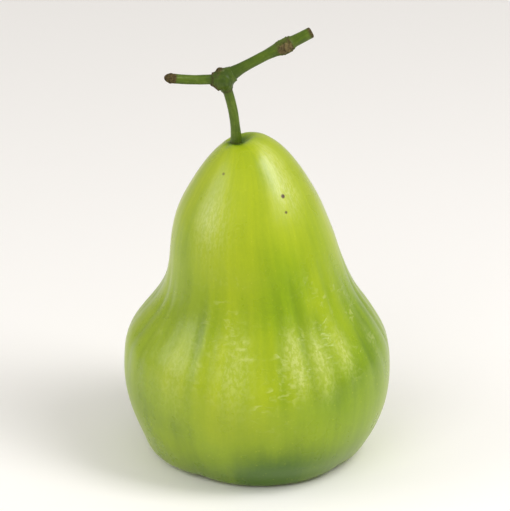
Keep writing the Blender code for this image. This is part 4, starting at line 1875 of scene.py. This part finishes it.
@dataclass(frozen=True)
class Softbox:
    """A rectangular studio light that faces the fruit.

    Attributes:
        role: What it is for.
        turn: Degrees round from the front, towards +X.
        rise: Degrees above the horizon.
        distance: From the fruit's middle.
        size: Width and height.
        radiance: Brightness of its face.
        mirrored: Whether glossy skin shows it.
    """

    role: LightRole
    turn: float
    rise: float
    distance: float
    size: tuple[float, float]
    radiance: float
    mirrored: bool = True

    def add(self, target: Vector) -> bpy.types.Object:
        """Adds the light, turned towards a target.

        Args:
            target: Where the middle of its beam falls.

        Returns:
            The light.
        """
        turn, rise = math.radians(self.turn), math.radians(self.rise)
        across = math.cos(rise)
        toward = Vector((math.sin(turn) * across, -math.cos(turn) * across, math.sin(rise)))
        light = bpy.data.lights.new(self.role.value, "AREA")
        light.shape = "RECTANGLE"
        light.size, light.size_y = self.size
        light.energy = self.radiance * math.pi * self.size[0] * self.size[1]
        made = bpy.data.objects.new(self.role.value, light)
        made.location = target + toward * self.distance
        made.rotation_euler = (-toward).to_track_quat("-Z", "Y").to_euler()
        made.visible_glossy = self.mirrored
        return placed(made)


@dataclass
class Studio:
    """The pale floor, the soft light and the camera.

    Attributes:
        target: What the camera looks at.
        lit: What the softboxes face.
        floor_colour: Colour of the floor.
        floor_reach: Half the floor's width.
        world_colour: Colour of the surroundings.
        world_strength: Brightness of the surroundings.
        lens: Focal length, in millimetres.
        sensor: Width of the sensor, in millimetres.
        elevation: How far the camera looks down, in radians.
        scale: Dots of the picture to a metre at the target.
        picture: Width and height of the picture, in dots.
        boxes: The softboxes.
    """

    target: Vector
    lit: Vector
    floor_colour: Colour = (0.96, 0.935, 0.905)
    floor_reach: float = 2.0
    world_colour: Colour = (1.0, 0.985, 0.965)
    world_strength: float = 0.50
    lens: float = 600.0
    sensor: float = 36.0
    elevation: float = math.radians(25)
    scale: float = 4.3333 / MM
    picture: tuple[int, int] = (510, 511)
    boxes: tuple[Softbox, ...] = (
        Softbox(LightRole.KEY, 66.0, 48.0, 0.55, (0.22, 0.33), 8.2),
        Softbox(LightRole.FILL, -80.0, 26.0, 0.55, (0.42, 0.38), 1.15),
        Softbox(LightRole.CORE, -80.0, 26.0, 0.54, (0.24, 0.26), 1.3),
        Softbox(LightRole.FRONT, -24.0, 40.0, 0.80, (0.46, 0.36), 2.3, mirrored=False),
    )

    def floor(self) -> None:
        """A plain floor that is not part of the object."""
        far = self.floor_reach
        mesh = bpy.data.meshes.new("floor")
        corners = [(-far, -far, 0.0), (far, -far, 0.0), (far, far, 0.0), (-far, far, 0.0)]
        mesh.from_pydata(corners, [], [(0, 1, 2, 3)])
        shader = {"Base Color": (*self.floor_colour, 1.0), "Roughness": 0.9}
        mesh.materials.append(Bench("floor").finish({**shader, "Specular IOR Level": 0.1}))
        placed(bpy.data.objects.new("floor", mesh))

    def light(self) -> None:
        """The pale surroundings and the softboxes."""
        world = bpy.data.worlds.new("studio")
        world.use_nodes = True
        background = world.node_tree.nodes["Background"]
        background.inputs["Color"].default_value = (*self.world_colour, 1.0)
        background.inputs["Strength"].default_value = self.world_strength
        bpy.context.scene.world = world
        for box in self.boxes:
            box.add(self.lit)

    def camera(self) -> None:
        """A long lens that looks down at the front.

        The long side of the picture spans the sensor's width, so a length of 1 / scale at the
        target covers one dot when the camera is lens * dots / (sensor * scale) away.
        """
        data = bpy.data.cameras.new("camera")
        data.lens, data.sensor_width = self.lens, self.sensor
        data.clip_start, data.clip_end = 0.01, 20.0
        distance = self.lens * max(self.picture) / (self.sensor * self.scale)
        back = Vector((0.0, -math.cos(self.elevation), math.sin(self.elevation)))
        made = placed(bpy.data.objects.new("camera", data))
        made.location = self.target + back * distance
        made.rotation_euler = (-back).to_track_quat("-Z", "Y").to_euler()
        bpy.context.scene.camera = made

    def set_up(self) -> None:
        """Builds the studio and chooses plain display colours."""
        self.floor()
        self.light()
        self.camera()
        bpy.context.scene.view_settings.view_transform = "Standard"


# --- Assembly -------------------------------------------------------------------------------------


def dress(
    shell: Shell, name: str, material: bpy.types.Material, node: str
) -> bpy.types.Object:
    """Builds a surface, gives it its finish, and lets it stand for a solid.

    Args:
        shell: The surface.
        name: The piece's name.
        material: Its finish.
        node: The solid that it stands for.

    Returns:
        The piece.
    """
    piece = shell.build(name)
    piece.data.materials.append(material)
    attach(piece, BODY)
    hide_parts(node)
    log.info("%s stands for %s: %d corners", name, node, len(shell.corners))
    return piece


def dress_fruit() -> Fruit:
    """Builds the skin of the fruit, with its three brown specks, and gives the fruit.

    Returns:
        The fruit.
    """
    fruit = Fruit(height=79.6 * MM, radius=30.3 * MM)
    specks = (
        Speck((5.7 * MM, -10.4 * MM, 68.8 * MM), 0.72 * MM, 1.0),
        Speck((6.4 * MM, -12.1 * MM, 65.5 * MM), 0.50 * MM, 0.85),
        Speck((-7.9 * MM, -7.7 * MM, 73.2 * MM), 0.50 * MM, 0.65),
    )
    dress(fruit.shell(), "fruit_skin", SkinFinish(specks=specks).material(), "fruit")
    return fruit


def dress_fork() -> Fork:
    """Builds the stalks, the knuckle with its bract and the twig, and gives them.

    Returns:
        The fork that they belong to.
    """
    stalk_low, stalk_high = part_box("fruit_stalk")
    fork = Fork(foot=Vector((stalk_high.x - Fork.foot_radius, 0.0, stalk_low.z)))
    stalk_bark = BarkFinish("stalk_bark").material()
    twig_bark = BarkFinish("twig_bark").material()
    side_bark = BarkFinish("side_bark").material()
    dress(fork.stalk(), "stalk_bark", stalk_bark, "fruit_stalk")
    dress(fork.knuckle(), "knuckle", twig_bark, "twig")
    dress(fork.twig(), "twig_bark", twig_bark, "twig")
    dress(fork.bract_scale(), "bract", twig_bark, "twig")
    dress(fork.side(), "side_bark", side_bark, "side_stalk")
    return fork


def dress_bud(fork: Fork) -> None:
    """Builds the dry bud at the twig's node.

    Args:
        fork: The fork whose twig it sits on.
    """
    near = fork.twig_axis(np.array([fork.node_at - 0.02, fork.node_at + 0.02]))
    bud = DryBud(*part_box("dry_bud"), along=unit(near[1] - near[0]))
    finish = DryFinish("dry_bud", hex_colour("3a2f18"), hex_colour("7a6c42"))
    dress(bud.shell(), "bud_scales", finish.material(), "dry_bud")


def dress_flower(notch: float) -> None:
    """Builds the dried stamens and the dried style, with a clump at each notch.

    Args:
        notch: Direction of the first notch, in radians.
    """
    flower = FlowerRemains(*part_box("stamen_ring"), style_top=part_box("style")[1].z, notch=notch)
    stamens = DryFinish("stamens", hex_colour("35220f"), hex_colour("6f5230")).material()
    style = DryFinish("style", hex_colour("7d6a38"), hex_colour("b8a562")).material()
    dress(flower.ring(), "stamen_band", stamens, "stamen_ring")
    dress(flower.filaments(), "stamen_hairs", stamens, "stamen_ring")
    dress(flower.style(), "dry_style", style, "style")


def main() -> None:
    """Builds every piece round the frame, and the studio."""
    logging.basicConfig(level=logging.INFO, format="%(name)s: %(message)s")
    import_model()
    fruit = dress_fruit()
    dress_bud(dress_fork())
    dress_flower(fruit.notch)
    studio = Studio(
        target=Vector((-0.69 * MM, 0.0, 49.0 * MM)), lit=Vector((0.0, 0.0, 45.0 * MM))
    )
    studio.set_up()


if __name__ == "__main__":
    main()
